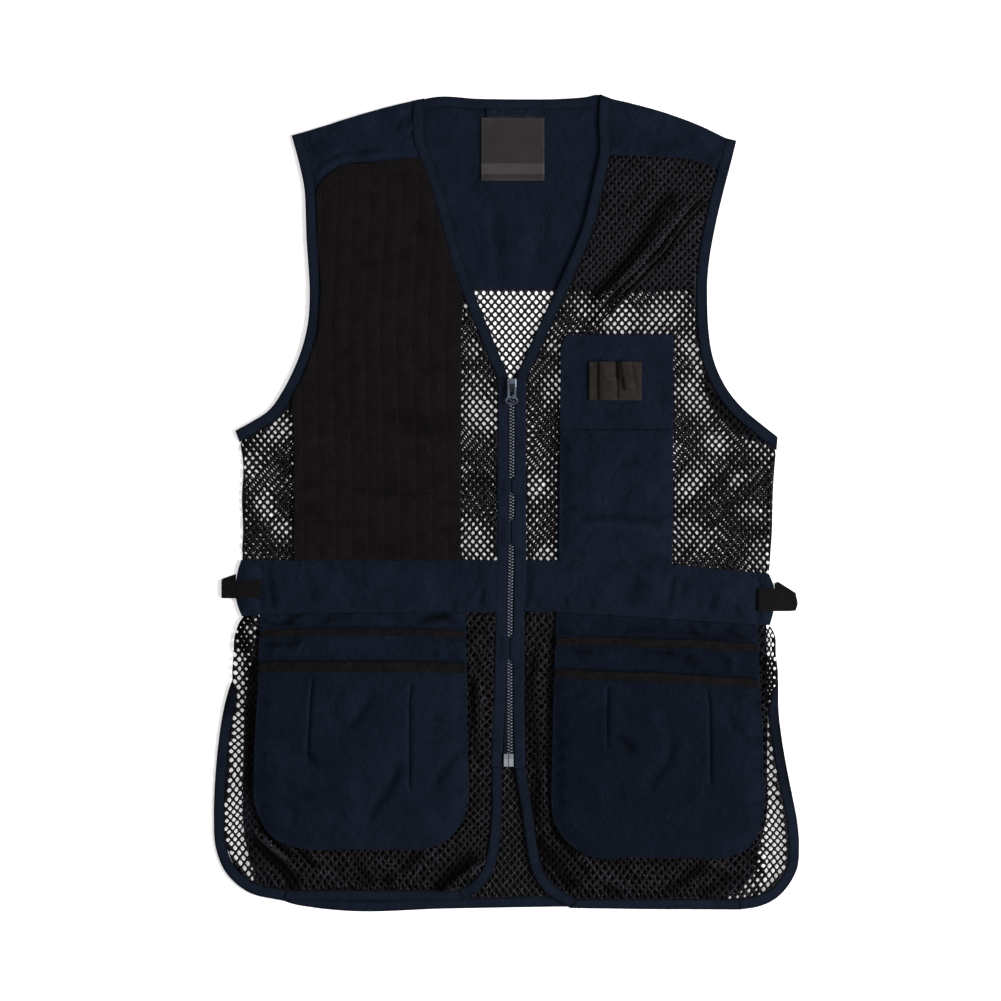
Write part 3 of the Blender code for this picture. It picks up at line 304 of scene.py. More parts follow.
# Brushed finish: dark and light tone in thousandths, size of its nap, bump, sheen and patches
SUEDE = ((3.8, 3.0, 3.4), (7.4, 5.9, 6.7), 0.9, 0.6, 0.02, 12.0)
# Metal finishes by their colour and roughness, with the tones and the size of their marks
METALS = {"zip_teeth": ((0.17, 0.18, 0.22), 0.45), "zip_metal": ((0.17, 0.20, 0.26), 0.34),
          "box_metal": ((0.44, 0.46, 0.51), 0.38)}
METAL_TONES = (0.8, 1.25)
METAL_PATCH = 1.5
METAL_DEPTH = 0.05
# Finishes with painted shade between their yarns, and the others into which each piece may paint
# shade and highlight
KNIT_SHADED = ("black_net", "lightened_back_net")
PAINTED_SHADE_FINISHES = ("navy_cloth", "pocket_cloth", "shaded_cloth", "navy_binding", "suede_patch",
          "brown_elastic")
# Parts of a finish that are lighter or darker: sides in X, sides in Y, and gain
TONED = {"charcoal_label": [(-30.0, 40.0, 318.0, 328.0, 1.8)],
         "zip_metal": [(3.2, 7.9, 101.8, 114.4, 0.22), (-2.0, 13.0, 90.0, 98.5, 0.5)],
         "box_metal": [(1.5, 2.6, -256.0, -243.0, 0.3), (-3.0, 7.0, -248.5, -243.0, 0.7)]}
# Slots of the finishes that aren't a slot of the record themselves
SLOTS = {"shaded_pouch_cloth": "navy_cloth", "pocket_cloth": "navy_cloth",
         "shaded_cloth": "navy_cloth", "zip_tape": "zip_chain"}

# Camera: millimetres to a pixel, pixels to a side, the middle, and the lens and its sensor
PIXEL = 0.97
FRAME_PIXELS = 1001
CENTRE_X = -5.8
CENTRE_Y = 1.5
LENS = 85.0
SENSOR = 36.0

# Floor, in metres but for its height
FLOOR_SIZE = 8.0
FLOOR_Z = -0.2
FLOOR_COLOUR = (0.92, 0.92, 0.92, 1.0)
WHITE = (1.0, 1.0, 1.0, 1.0)

# Light: the sky's strength, the floor's own glow, and lamps by name, place, size and power
SKY = 0.25
FLOOR_GLOW = 0.40
LAMPS = [("key", (3.6, -0.6, 2.35), 2.4, 345.0), ("fill", (-1.5, 0.8, 2.0), 1.8, 14.0)]


def listed(text):
    """Rows of a path and its numbers, from lines of places, a colon and the numbers."""
    rows = []
    for line in text.strip().splitlines():
        path, _, numbers = line.partition(":")
        places = [tuple(map(float, place.split(","))) for place in path.split()]
        rows.append((places, *map(float, numbers.split())))
    return rows


# Creases, each with its path, its width to the left and to the right of it, and its rise
PATCH_CREASES = listed("""
    -121.5,317.5 -81,317: 2.5 3 -.5
    -99.5,267.5 -81,264 -60.5,256.5: 3 4 -.8
    -152,231 -130.5,233 -107.5,236.5: 3 4 -.55
    -174,142.5 -148,143.5: 3 3.5 -.4
    -93.5,127 -77,129 -58.5,134.5: 3 4 -.6
    -138,91.5 -89.5,75.5 -41,79.5: 9 7 -.8
    -116,71.5 -81.5,67.5 -47,73: 2 3 -.6
    -207,18.5 -190.5,20 -175,21: 3 3.5 -.6
    -163.5,15.5 -130,10.5 -93.5,8 -74,10.5: 2.2 4 -.9
    -73,-1.5 -39.5,1: 2 3 -.5
    -204,-5 -175,-8: 3 4 -.6
    -198.5,-17.5 -156.5,-20.5 -132.5,-19: 3 4 -.6
    -73,-28 -39.5,-23.5: 2.5 4 -.6
    -156.5,-44.5 -84,-48.5: 5 5 -.5
    -200.5,60 -150,54.5: 7 7 .45
    -147,196 -84,186: 9 9 .45
    -171,278.5 -130.5,285: 7 7 .4
    """)
BACK_YOKE_CREASES = listed("""
    -12,297 -8,254 -4.5,209.5: 4.5 6 -.8
    -37.5,332 -31.5,314.5 -25.5,293: 6 6 -.5
    13,293 17,254 19,211.5: 8 8 .5
    40,302.5 33.5,254 28.5,215.5: 5 6 -.45
    -22,288 -18,244.5 -16,210.5: 5 5 .4
    """)
CHEST_PANEL_CREASES = listed("""
    135.5,72 149,70 162.5,69: 2 2.6 -.6
    56,145.5 66.5,152.5 73,160: 3 4 -.6
    89.5,89 112,85.5: 3 3.6 -.5
    90.5,147.5 139,143.5: 7 7 .4
    66.5,123 63.5,84.5: 5 5 .4
    144,123 147,89: 6 6 -.4
    """)
CHEST_POCKET_CREASES = listed("""
    55,-20.5 72.5,-14 108,-13.5 136.5,-17 161.5,-25: 2.6 4.5 -1.3
    57,-25 90.5,-20.5 129.5,-24 156.5,-33: 5 5 .7
    142,-17.5 160.5,-13: 1.8 2.4 -.7
    145,-32 160.5,-39: 2.4 3 -.7
    106,34 129.5,41.5: 3 4 -.5
    50,-3 68.5,-6: 3 3.6 -.6
    149,35 160.5,41.5: 2.2 2.8 -.7
    144,12.5 161.5,18.5: 2.2 2.8 -.6
    50,48.5 61.5,53.5: 2.4 3 -.5
    50,23.5 63.5,27: 3 3.6 -.5
    123.5,-53.5 160.5,-56: 2.2 3 -.6
    55,-46.5 81,-51.5: 3 4 -.4
    81,11.5 90.5,-8: 7 7 .45
    129.5,21.5 137,-3: 7 7 .45
    """)
YOKE_CREASES = {
    "left": listed("""
    -190,304 -178,322 -158,333 -120,336 -80,338: 2.4 2.4 .7
    -194,307 -182,326 -160,338 -120,341 -78,343.5: 1.1 1.1 -.9
    -113,358 -106,364.5 -95.5,378.5: 2 2.5 -.7
    -98.5,361 -95.5,368.5 -90.5,382: 1.8 2.2 -.8
    -101.5,351 -91.5,357 -84,363: 2 2.5 -.6
    -105,370.5 -99.5,382: 3 2 .5
    -179,339.5 -156.5,341.5: 2.5 3 .5
    -152,336.5 -130.5,340.5: 2.5 2 -.6
    -126.5,339.5 -111,341.5: 2.5 3 .5
    -171,365.5 -122.5,373.5: 9 9 .5
    -195.5,341.5 -176,351: 5 5 -.4
    """),
    "right": listed("""
    129.5,339.5 149,345.5 178,348: 4 4 -.5
    139,341.5 145,333.5: 2 2 -.4
    115,370.5 168.5,363: 9 9 .5
    178,356 203,341.5: 5 5 .5
    189.5,332 209,343.5: 3 4 -.5
    """),
}
WAIST_CREASES = {
    "left": listed("""
    -231.5,-58 -228.5,-80.5 -226.5,-105.5: 2.5 3 -.9
    -224.5,-85.5 -227.5,-105.5: 1.6 2 -.6
    -194.5,-63 -190.5,-80.5 -186.5,-101: 5 6 -.7
    -136.5,-90 -124.5,-85.5 -113,-81.5: 4 4 -.5
    -155.5,-89 -151,-105: 4 4 -.5
    -23,-80.5 -24.5,-92 -27.5,-103: 2.2 2.5 -.9
    -55,-93 -51,-105.5: 3 3 -.6
    -108,-60 -105,-71: 5 5 -.4
    -171,-71 -168.5,-95: 7 7 .45
    -79,-66 -76,-100: 8 8 .45
    -211,-61 -209,-100: 5 5 .45
    """),
    "right": listed("""
    57,-58 60.5,-68: 3 3 -.6
    57.5,-89 56,-98 53,-105.5: 2 2.5 -.9
    26.5,-89 29.5,-104: 2.5 2.5 -.6
    80,-91 83,-105.5: 3 3 -.6
    125.5,-65 121.5,-85.5 117,-105.5: 6 6 -.7
    162.5,-66 159.5,-85.5 155.5,-103: 2.6 3.2 -.9
    172,-73 169.5,-93: 3 4 -.5
    202,-88.5 195.5,-107.5: 3 3.5 -.8
    183,-91 186.5,-105: 2.6 3 -.6
    219.5,-98 224.5,-113.5: 3 3 -.7
    234,-69 235,-95: 3 3 -.6
    98.5,-68 94.5,-100: 7 7 .45
    144,-71 139,-103: 7 7 .45
    212,-75.5 209,-105: 6 6 .45
    """),
}
BACKING_CREASES = {
    "left": listed("""
    -83,-113.5 -56,-110.6 -42,-118: 2 3 -1.1
    -229.6,-120 -191.6,-117.4: 2 2.5 -1
    -219.5,-122 -204,-112.5 -191.5,-106.5: 2.2 3 -1
    -183,-122 -169.5,-113.5 -140,-108.5: 3 4 -.9
    -237,-111.5 -218.5,-121: 2.2 3 -.8
    -89.5,-120.5 -74,-113.5 -57.5,-110.5 -50,-116.5: 3 3.5 -.9
    -122.5,-110.5 -108,-120.5: 4 4 .5
    """),
    "right": listed("""
    158.6,-122 199,-130.7 233,-136: 2 3 -1.1
    50,-121 61.5,-125 71.5,-129: 2.2 3 -.8
    176,-116.5 189.5,-129: 2.4 3 -.9
    213,-122 228.5,-130 242,-134: 2.4 3.5 -1
    151,-110.5 162.5,-124: 2.6 3 -.6
    110,-124 144,-123 178,-127: 3 4 -.7
    190.5,-111.5 199.5,-124: 2.4 3 -.6
    """),
}
INNER_CREASES = {
    "left": listed("""
    -232,-136.4 -211,-137.7 -191.6,-132: 2 2.5 -1
    -61.6,-131 -42,-134.8: 1.8 2.2 -.9
    -232.5,-135 -217,-138.5: 2 2.6 -.8
    -211,-143.5 -196.5,-132: 2.2 2.8 -.9
    -226.5,-136 -225.5,-154: 1.2 2.4 -.8
    -76,-126 -60.5,-137: 2.4 3 -.8
    -68.5,-139.5 -63.5,-154: 2 2.6 -.7
    -171,-136 -103.5,-138.5: 6 6 .5
    """),
    "right": listed("""
    147,-142 182,-150 193,-149: 2 3 -1
    61.6,-142 89.7,-144.5 121.7,-142: 1.8 2.4 -.8
    60.5,-141.5 74,-144.5 89,-148.5: 1.6 2.6 -.8
    125.5,-143.5 156.5,-146.5 171,-154: 2.6 4 -.9
    168.5,-155 195.5,-155: 3 4 -.9
    212,-146.5 217,-155 218.5,-169: 1.3 2.6 -1
    229.5,-159 239,-161: 2 2.6 -.7
    187.5,-164 217,-166: 2.2 3 -.6
    95.5,-145.5 121.5,-153: 5 5 .5
    """),
}
OUTER_CREASES = {
    "left": listed("""
    -125.5,-178.5 -134.5,-194 -144,-208.5 -161.5,-221: 4 6 -1
    -171,-194 -164.5,-207.5 -156.5,-219: 5 5 -.7
    -241,-224 -227.5,-223 -211,-224: 2.4 3 -.8
    -241,-242.5 -229.5,-242.5: 2.2 2.6 -.7
    -219.5,-231 -192.5,-245.5 -174,-260: 3.5 5 -.8
    -192.5,-240.5 -186,-256: 2.6 3.6 -.7
    -218.5,-264 -206,-282.5 -185,-279.5: 5 5 -.8
    -219.5,-277.5 -207,-299 -204,-320: 3 5 -.6
    -100.5,-240.5 -111,-272.5 -128.5,-297 -135.5,-320: 4 6 -1.1
    -43,-237.5 -64.5,-263 -74,-281.5: 4 5 -.9
    -241,-261 -226.5,-264: 2.4 3 -.7
    -235,-168.5 -214,-172.5: 1.8 2.6 -.7
    -72.5,-203.5 -64.5,-219: 5 5 -.6
    -57,-246.5 -39.5,-242.5: 2.4 3 -.7
    -55,-279.5 -39.5,-275.5: 2.4 3 -.6
    -53,-207.5 -37.5,-210.5: 2.4 3 -.6
    -53,-186 -38.5,-189: 2.4 3 -.6
    -241,-289 -229.5,-295: 2.4 3 -.6
    -241,-192 -229.5,-194: 2.4 3 -.6
    -156.5,-250 -150,-289 -152,-323: 9 9 .7
    -84,-289 -74,-318: 8 8 .6
    -156.5,-182.5 -150,-197: 6 6 .6
    """),
    "right": listed("""
    98.5,-227 110,-230 125.5,-240.5: 3 5 -.9
    207,-192 218.5,-215.5 232.5,-233: 3 4 -.8
    162.5,-221 156.5,-249.5 143,-266 131.5,-279.5: 4 6.5 -1.1
    104.5,-221 125.5,-248.5: 6 6 -.6
    45,-231.5 59.5,-231.5: 2.2 2.8 -.8
    43,-247.5 57.5,-247.5: 2.2 2.8 -.7
    43,-261 57,-261: 2.2 2.8 -.7
    43,-274 57,-274.5: 2.2 2.8 -.7
    43,-289 57.5,-290: 2.2 2.8 -.7
    55,-188 77,-182.5: 3 4 -.7
    80,-205.5 96.5,-194: 3 4 -.6
    228.5,-194 246,-194: 2.2 2.8 -.7
    224.5,-227 246,-230: 2.4 3 -.8
    230.5,-259 248,-260: 2.2 2.8 -.7
    234,-289 249,-290: 2.2 2.8 -.6
    184,-309.5 213,-314.5: 5 6 -.6
    108,-194 122.5,-213.5: 5 5 -.6
    71.5,-250 90.5,-289 95.5,-318: 10 10 .6
    178,-260 187.5,-294: 9 9 .6
    139,-192 144,-226: 8 8 .6
    215,-192 221.5,-182.5: 3 3 -.5
    """),
}

# Folds of the nets: path, widths left and right of it, how far it gathers the net, and rise
NET_FOLDS = {
    "front_net_upper_right": listed("""
    190,300 170,279 146,247.5 121.5,223 104.5,206.5 88,187 72,168: 1.8 9 .2 5
    192.5,297 173,276 149,244.5 124.5,220 107.5,203 90.5,184 74,165: 1.3 1.3 .45 -3.5
    194,295.5 174.5,274 151,242 126.5,218 109.5,201 93,181: 1.2 1.2 .3 2.4
    195.5,294 176,272.5 152.5,239.5 128.5,215.5 111,199 95,179: 1.3 1.3 .45 -2.6
    150,326 128,292 106,258: 6 8 .2 1.2
    240,45 203,18.5 163,-13.5: 3 4.5 .4 3
    242,21 217,-3 188,-32 166,-54: 3 3.5 .4 2.4
    172,150 184,125 196,98: 5 5 .35 1
    36,120 24,60 34,30: 6 6 .35 .8
    """),
    "front_net_upper_left": listed("""
    -222,45 -238,20 -228,-50: 5 5 .45 .9
    -247,10 -240,-30 -246,-62: 5 5 .4 .9
    -40,120 -20,108 -12,100: 5 5 .4 -.8
    -42,10 -28,-4 -10,-8: 6 6 .4 .8
    """),
    "front_net_lower_left": listed("""
    -250,-116 -254,-140 -261,-172: 4 5 .55 1
    -245,-318 -228.5,-333 -207.5,-350 -198,-360: 2 8 .25 5
    -242,-314 -225.5,-329.5 -204.5,-346.5: 1.4 1.4 .45 -3
    -239,-311 -222,-326 -201,-343.5: 1.6 1.4 .3 2.4
    -203,-333.5 -194,-343 -186,-352: 1.4 1.4 .45 -2.6
    -206,-336 -197,-345.5 -189,-354.5: 1.6 3 .3 2.4
    -12,-342 -40,-357 -66,-380: 5 3 .3 5
    -8,-336 -36,-351 -62,-374: 2 2 .45 -2.4
    -36,-140 -24,-200 -34,-270: 4 5 .4 3.2
    -22,-130 -38,-190 -20,-250: 3 3 .4 -1.2
    -130,-342 -100,-358 -70,-372: 3 5 .3 3
    -160,-352 -150,-366 -130,-376: 4 4 .3 2.4
    """),
    "front_net_lower_right": listed("""
    251,-116 254,-150 255,-196: 8 8 .6 1
    36,-130 24,-190 34,-260 40,-330: 4 5 .4 3.2
    22,-150 42,-215 26,-300: 3 3 .4 -1.2
    60,-360 110,-370 170,-372: 4 5 .35 3
    36,-345 60,-362 95,-374: 3 5 .35 3
    150,-356 180,-366 210,-368: 3 4 .35 2.2
    240,-330 250,-345 251,-362: 3 4 .5 1.6
    225,-340 236,-352 240,-368: 3 3 .5 -1.2
    """),
}

# Paths along which pieces are painted darker or lighter: path, widths left and right of it, and
# change of tone
# Painted shade on the elastic loops: in the gap between them, beside their sides and along the
# seam
LOOP_SHADES = listed("""
    106.4,142 106.9,130 107.6,117: 2.6 2.4 -.95
    107,128 107.8,112 107.9,92: 1.5 1.5 -.75
    109.5,124 113.5,104: 2.6 2 -.4
    121.8,138 124,122 128,103: 1.5 2 -.6
    88.4,141 88.4,94: 1 1 -.35
    88,107 108,107: 1 1 -.15
    """)
# The upper ends of the vent bindings, drawn darker
VENT_SHADES = {
    "left": listed("""
    -266,-165 -269,-190 -272,-215: 9 9 -.65
    """),
    "right": listed("""
    260,-185 266,-225 274,-270 280,-300: 9 9 -.55
    """),
}
# Painted shade in the bands beside the nets' folds, and painted highlight on their crests
NET_PAINTED_SHADE = {
    "front_net_upper_left": listed("""
    -250,14 -246,-18 -238,-52: 9 8 -.3
    -256,-46 -230,-49 -206,-46: 6 6 -.2
    -38,22 -24,20 -12,22: 9 9 -.3
    -258,56 -240,52: 8 8 -.5
    -219,42 -208,22: 6 6 -.5
    """),
    "front_net_upper_right": listed("""
    172,306 149,286 140,266 123.5,240 107.5,220 91,205 75,188: 6.5 6.5 -.95
    190,300 170,279 146,247.5 121.5,223 104.5,206.5 88,187: 1.5 1.8 1.3
    192.5,297 173,276 149,244.5 124.5,220 107.5,203 90.5,184 74,165: 1.3 1.3 -1.3
    194,295.5 174.5,274 151,242 126.5,218 109.5,201: 1 1 1.5
    195.5,294 176,272.5 152.5,239.5 128.5,215.5 111,199 95,179: 1.3 1.3 -1.1
    240,42 203,15.5 163,-16.5: 3 3 -.8
    242,18 217,-6 188,-35 166,-57: 2.5 2.5 -.7
    228,-12 246,-30 252,-58: 13 10 -.5
    186,122 206,90 234,64: 9 7 -.65
    """),
    "front_net_lower_left": listed("""
    -246,-322 -227,-341.5 -209,-364 -200,-378: 7 7 -1.5
    -245,-316 -228.5,-331 -207.5,-348: 1.8 1.8 2
    -242,-312 -226,-327 -206,-344: 1.2 1.2 -.9
    -204,-335 -190,-347 -176,-358: 2.2 2.2 -1.5
    -236,-349 -215,-369: 4 4 .7
    -184,-354 -174,-361: 4 3 1
    -192,-338 -170,-356 -150,-372: 5 5 .8
    -125,-345 -100,-368: 5 5 .7
    -62,-338 -84,-352 -108,-368: 5 5 .9
    -150,-348 -128,-368: 3.5 3.5 -.9
    -20,-345 -36,-362 -56,-378: 3 3 .8
    -24,-120 -34,-150 -22,-190 -36,-235 -24,-280: 2.5 2.5 .8
    -200,-339.5 -166.5,-357 -127.5,-374.5: 4 5 -.7
    -28.5,-337.5 -50,-358 -72,-378: 7 6 -1.4
    -79,-337 -96,-355 -122,-372: 7 6 -1.25
    -36,-118 -28,-160 -33,-205 -26,-262: 4.5 5.5 -.8
    -252,-120 -250,-165 -249,-230 -252,-290: 5 5 -.85
    -258,-108 -257,-124 -256,-146: 5.5 5.5 -1.1
    -251,-108 -247,-120: 4 4 -1
    """),
    "front_net_lower_right": listed("""
    252,-146 254,-170 259,-198: 8 8 -1
    30,-130 24,-180 32,-245 27,-320: 4.5 4.5 -.8
    38,-125 36,-180 40,-240 37,-300: 2.5 2.5 .8
    66,-340 92,-358 120,-372: 4 4 .8
    120,-346 150,-360: 5 5 .6
    196,-345 222,-358: 4 4 .7
    27,-322 44,-345 70,-378: 7 6 -1.25
    46,-318 63,-341 84,-362: 3.5 3.5 -1.1
    84,-345 127,-349 170,-347: 3 3 -.8
    94,-371 114,-380: 4.5 4.5 -.9
    152,-380 172,-366 195,-349: 5.5 4.5 -1.2
    190,-380 205,-369 222,-357: 4.5 4.5 -1
    232,-336 243,-350 246,-366: 4 4 -.7
    """),
}

# Paths of the strips of painted shadow and painted highlight along the nets' folds
PAINTED_FOLD_STRIPS = {
    "fold_shadow": {
        "front_net_upper_right": listed("""
        192.5,297 173,276 149,244.5 124.5,220 107.5,203 90.5,184 76,168
        195.5,293 176.5,271 153.5,239 129,214.5 112,198 97,181 84,167
        """),
        "front_net_lower_left": listed("""
        -241,-312 -225,-327 -204,-345
        -203,-333.5 -194,-343 -184,-353.5
        """),
    },
    "fold_highlight": {
        "front_net_upper_right": listed("""
        189.5,299 170.5,278 146,246.5 121.5,222 105,205.5 88,186
        194.2,295.4 174.8,273.6 151.2,241.8 126.7,217.3 109.7,200.6
        """),
        "front_net_lower_left": listed("""
        -244.5,-315 -228,-330.5 -207,-348
        -246.5,-318 -230,-333.5 -209,-351
        """),
    },
}

# Where the front nets' holes lie over the back net's holes: place and reach
NET_ZONES = {
    "front_net_upper_right": listed("""
    149,184: 26
    105,180: 22
    74,188: 18
    176,150: 18
    185,106: 25
    180,18: 20
    192,-34: 16
    27,15: 10
    221,24: 9
    240,-12: 14
    252,-46: 12
    205,60: 14
    235,66: 10
    37,-51: 9
    43,152: 7
    """),
    "front_net_upper_left": listed("""
    -26,75: 26
    -26,-37: 24
    -37,192: 13
    -32,150: 12
    -219,70: 12
    -249,35: 7
    -237,0: 7
    -232,-12: 6
    -217,-25: 9
    -211,23: 6
    """),
}


def eased(value):
    """0 below 0, 1 above 1, and a smooth step between."""
    t = np.clip(value, 0.0, 1.0)
    return t * t * (3.0 - 2.0 * t)


def turns(ring):
    """For each point of a ring: the way to the next, its length, and how the ring bends."""
    runs = np.roll(ring, -1, 0) - ring
    lengths = np.linalg.norm(runs, axis=1)
    units = runs / lengths[:, None]
    bend = np.arccos(np.clip((units * np.roll(units, 1, 0)).sum(1), -1.0, 1.0))
    return units, lengths, bend


def smoothed(ring, step):
    """A closed ring drawn as smooth curves between its corners, with points a step apart."""
    units, lengths, bend = turns(ring)
    before, before_length = np.roll(units, 1, 0), np.roll(lengths, 1)
    blend = (before_length / (lengths + before_length))[:, None]
    tangents = units * blend + before * (1.0 - blend)
    is_corner = bend > CORNER
    points = []
    count = len(ring)
    for i in range(count):
        j = (i + 1) % count
        start = units[i] if is_corner[i] else tangents[i]
        end = units[i] if is_corner[j] else tangents[j]
        pieces = max(1, round(lengths[i] / step))
        for piece in range(pieces):
            t = piece / pieces
            points.append((2 * t ** 3 - 3 * t ** 2 + 1) * ring[i]
                          + (t ** 3 - 2 * t ** 2 + t) * lengths[i] * start
                          + (3 * t ** 2 - 2 * t ** 3) * ring[j]
                          + (t ** 3 - t ** 2) * lengths[i] * end)
    return np.array(points)


def offset(ring, distance):
    """A closed anticlockwise ring drawn in by a distance."""
    units = turns(ring)[0]
    sides = np.stack([-units[:, 1], units[:, 0]], axis=1)
    middle = (sides + np.roll(sides, 1, 0)) / 2
    reach = distance / np.maximum(MITRE_LIMIT, (middle ** 2).sum(1))
    return ring + middle * reach[:, None]


def projected(starts, runs, points):
    """For each point: its nearest run, and its way from there, its distance and its length."""
    lengths = np.linalg.norm(runs, axis=1)
    before = np.concatenate([[0.0], np.cumsum(lengths)[:-1]])
    reach = points[:, None] - starts
    t = np.clip((reach * runs).sum(2) / lengths ** 2, 0.0, 1.0)
    gap = reach - t[..., None] * runs
    away = np.linalg.norm(gap, axis=2)
    best = away.argmin(1)
    rows = np.arange(len(points))
    t = t[rows, best]
    place = starts[best] + t[:, None] * runs[best]
    return best, gap[rows, best], away[rows, best], before[best] + t * lengths[best], place


def nearest(ring, points):
    """For each point: its distance to a ring, the length along the ring, the point there."""
    runs = np.roll(ring, -1, 0) - ring
    chunks = np.array_split(points, max(1, len(points) // CHUNK))
    found = [projected(ring, runs, chunk)[2:] for chunk in chunks]
    return [np.concatenate(values) for values in zip(*found)]


def path_gap(path, points):
    """For each point: its way from an open path, on which side, and its share of the length."""
    path = np.array(path, float)
    runs = np.diff(path, axis=0)
    best, gap, _, along, _ = projected(path[:-1], runs, points)
    side = np.sign(runs[best, 0] * gap[:, 1] - runs[best, 1] * gap[:, 0])
    return gap, side, along / np.linalg.norm(runs, axis=1).sum()


def near_path(path, points, reach):
    """Which points lie within reach of the box of a path."""
    path = np.array(path, float)
    return ((points > path.min(0) - reach) & (points < path.max(0) + reach)).all(1)


def inside(ring, points):
    """Which of the points lie inside a ring."""
    x0, y0 = ring[:, 0], ring[:, 1]
    x1, y1 = np.roll(x0, -1), np.roll(y0, -1)
    x, y = points[:, :1], points[:, 1:]
    spans = (y0 > y) != (y1 > y)
    rise = np.where(y1 == y0, 1.0, y1 - y0)
    return (spans & (x < x0 + (x1 - x0) * (y - y0) / rise)).sum(1) % 2 == 1


def area_of(ring):
    """The area inside a ring."""
    x, y = ring[:, 0], ring[:, 1]
    return abs((x * np.roll(y, -1) - np.roll(x, -1) * y).sum()) / 2


class Field:
    """Smoothed heights of a surface on a grid, read between the grid's points."""

    def __init__(self, tree, low, high):
        self.origin = low - GRID_MARGIN
        columns, rows = np.ceil((high - low + 2 * GRID_MARGIN) / GRID).astype(int) + 2
        heights = np.empty((rows, columns))
        for row in range(rows):
            for column in range(columns):
                x, y = self.origin + GRID * np.array([column, row])
                hit = tree.ray_cast(Vector((x, y, READ_FROM)), DOWN)[0]
                if hit is None:
                    hit = tree.find_nearest(Vector((x, y, 0.0)))[0]
                heights[row, column] = hit.z
        for _ in range(SMOOTHING):
            for border, axis in ((((1, 1), (0, 0)), 0), (((0, 0), (1, 1)), 1)):
                padded = np.pad(heights, border, mode="edge")
                heights = sum(np.take(padded, np.arange(heights.shape[axis]) + shift, axis)
                              for shift in range(3)) / 3
        self.heights = heights

    def __call__(self, points):
        place = (points - self.origin) / GRID
        cell = np.clip(np.floor(place).astype(int), 0, np.array(self.heights.shape)[::-1] - 2)
        (u, v), (column, row) = (place - cell).T, cell.T
        grid = self.heights
        return ((1 - v) * ((1 - u) * grid[row, column] + u * grid[row, column + 1])
                + v * ((1 - u) * grid[row + 1, column] + u * grid[row + 1, column + 1]))


class Solid:
    """A cloth wall of the frame: its outline, the heights of its underside, its thickness."""

    def __init__(self, node):
        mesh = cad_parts[node].data
        corners = np.array([tuple(vertex.co) for vertex in mesh.vertices]) / MM
        points, index = np.unique(np.round(corners, 3), axis=0, return_inverse=True)
        index = index.ravel()
        upper, lower = [], []
        for face in mesh.polygons:
            if abs(face.normal.z) > FACING:
                side = upper if face.normal.z > 0 else lower
                side.append([int(index[i]) for i in face.vertices])
        self.ring = self.border(points, upper)
        spans = {}
        for x, y, z in points:
            spans.setdefault((x, y), []).append(z)
        self.thickness = min(max(zs) - min(zs) for zs in spans.values() if len(zs) > 1)
        tree = BVHTree.FromPolygons([Vector(point) for point in points], lower)
        self.under = Field(tree, self.ring.min(0), self.ring.max(0))

    @staticmethod
    def border(points, faces):
        """The outer ring of a set of faces, run anticlockwise."""
        runs = {(a, b) for face in faces for a, b in zip(face, face[1:] + face[:1])}
        after = {a: b for a, b in runs if (b, a) not in runs}
        start = next(iter(after))
        ring, here = [start], after[start]
        while here != start:
            ring.append(here)
            here = after[here]
        return points[ring][:, :2]


def mesh_object(name, points, triangles, finish, slot=None):
    """A new smooth-shaded piece from points in millimetres and triangles."""
    mesh = bpy.data.meshes.new(name)
    mesh.vertices.add(len(points))
    mesh.vertices.foreach_set("co", (points * MM).astype(np.float32).ravel())
    mesh.loops.add(triangles.size)
    mesh.loops.foreach_set("vertex_index", triangles.astype(np.int32).ravel())
    mesh.polygons.add(len(triangles))
    mesh.polygons.foreach_set("loop_start", np.arange(0, triangles.size, 3, dtype=np.int32))
    mesh.polygons.foreach_set("use_smooth", np.ones(len(triangles), bool))
    mesh.update(calc_edges=True)
    mesh.validate()
    piece = bpy.data.objects.new(name, mesh)
    bpy.context.scene.collection.objects.link(piece)
    mesh.materials.append(FINISHES[finish])
    return (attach(piece, VEST), slot or finish)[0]


def declare(ring):
    """Works out what a cloth piece was cut to, a strip by its length and a panel by its box;
    nothing reads it.
    """
    area = area_of(ring)
    half = np.linalg.norm(np.roll(ring, -1, 0) - ring, axis=1).sum() / 2
    box = ring.max(0) - ring.min(0)
    if area < STRIP_FILL * box[0] * box[1]:
        length = (half + math.sqrt(half ** 2 - 4 * area)) / 2
        box = np.array([area / length, length])
    box = np.maximum(box, NARROWEST_CUT)


def no_relief(points, distance, along):
    """No relief."""
    return np.zeros(len(points))


def swells(points, seed):
    """Smooth noise at places."""
    return np.array([noise.noise(Vector((x, y, seed))) for x, y in points])


def near_folds(table, points, ease):
    """For each row of a table: points near its path, their way from it, strength, and values."""
    for path, left, right, *values in table:
        near = near_path(path, points, FOLD_REACH * max(left, right))
        if near.any():
            gap, side, share = path_gap(path, points[near])
            width = np.where(side > 0, left, right)
            ends = eased(share / ease) * eased((1.0 - share) / ease)
            yield near, gap, ends * np.exp(-((gap ** 2).sum(1) / width ** 2)), values


def creases(table, gain=CREASE_GAIN, ease=CREASE_EASE):
    """Soft ridges and troughs along paths, from a table whose last column is their rise."""
    def relief(points, distance, along):
        total = np.zeros(len(points))
        for near, _, strength, values in near_folds(table, points, ease):
            total[near] += values[-1] * strength
        return gain * total
    return relief


def tucks(paths):
    """Sewn tucks: a narrow sharp trough, and a soft ridge where the cloth folds over it."""
    return creases([(np.array(path, float) - (shift, 0.0), *row)
                    for path in paths for shift, *row in TUCK], ease=TUCK_EASE)


def puffed(part):
    """A piece that stands up between its seams."""
    rise, reach = PUFFS[part]
    return lambda points, distance, along: rise * eased(distance / reach)


def pressed(relief, top=math.inf):
    """A relief without its ridges below a height, where another layer lies on the cloth."""
    def limited(points, distance, along):
        room = PRESSED_RISE + FREE_RISE * eased((points[:, 1] - top) / FREE_EASE)
        return np.minimum(relief(points, distance, along), room)
    return limited


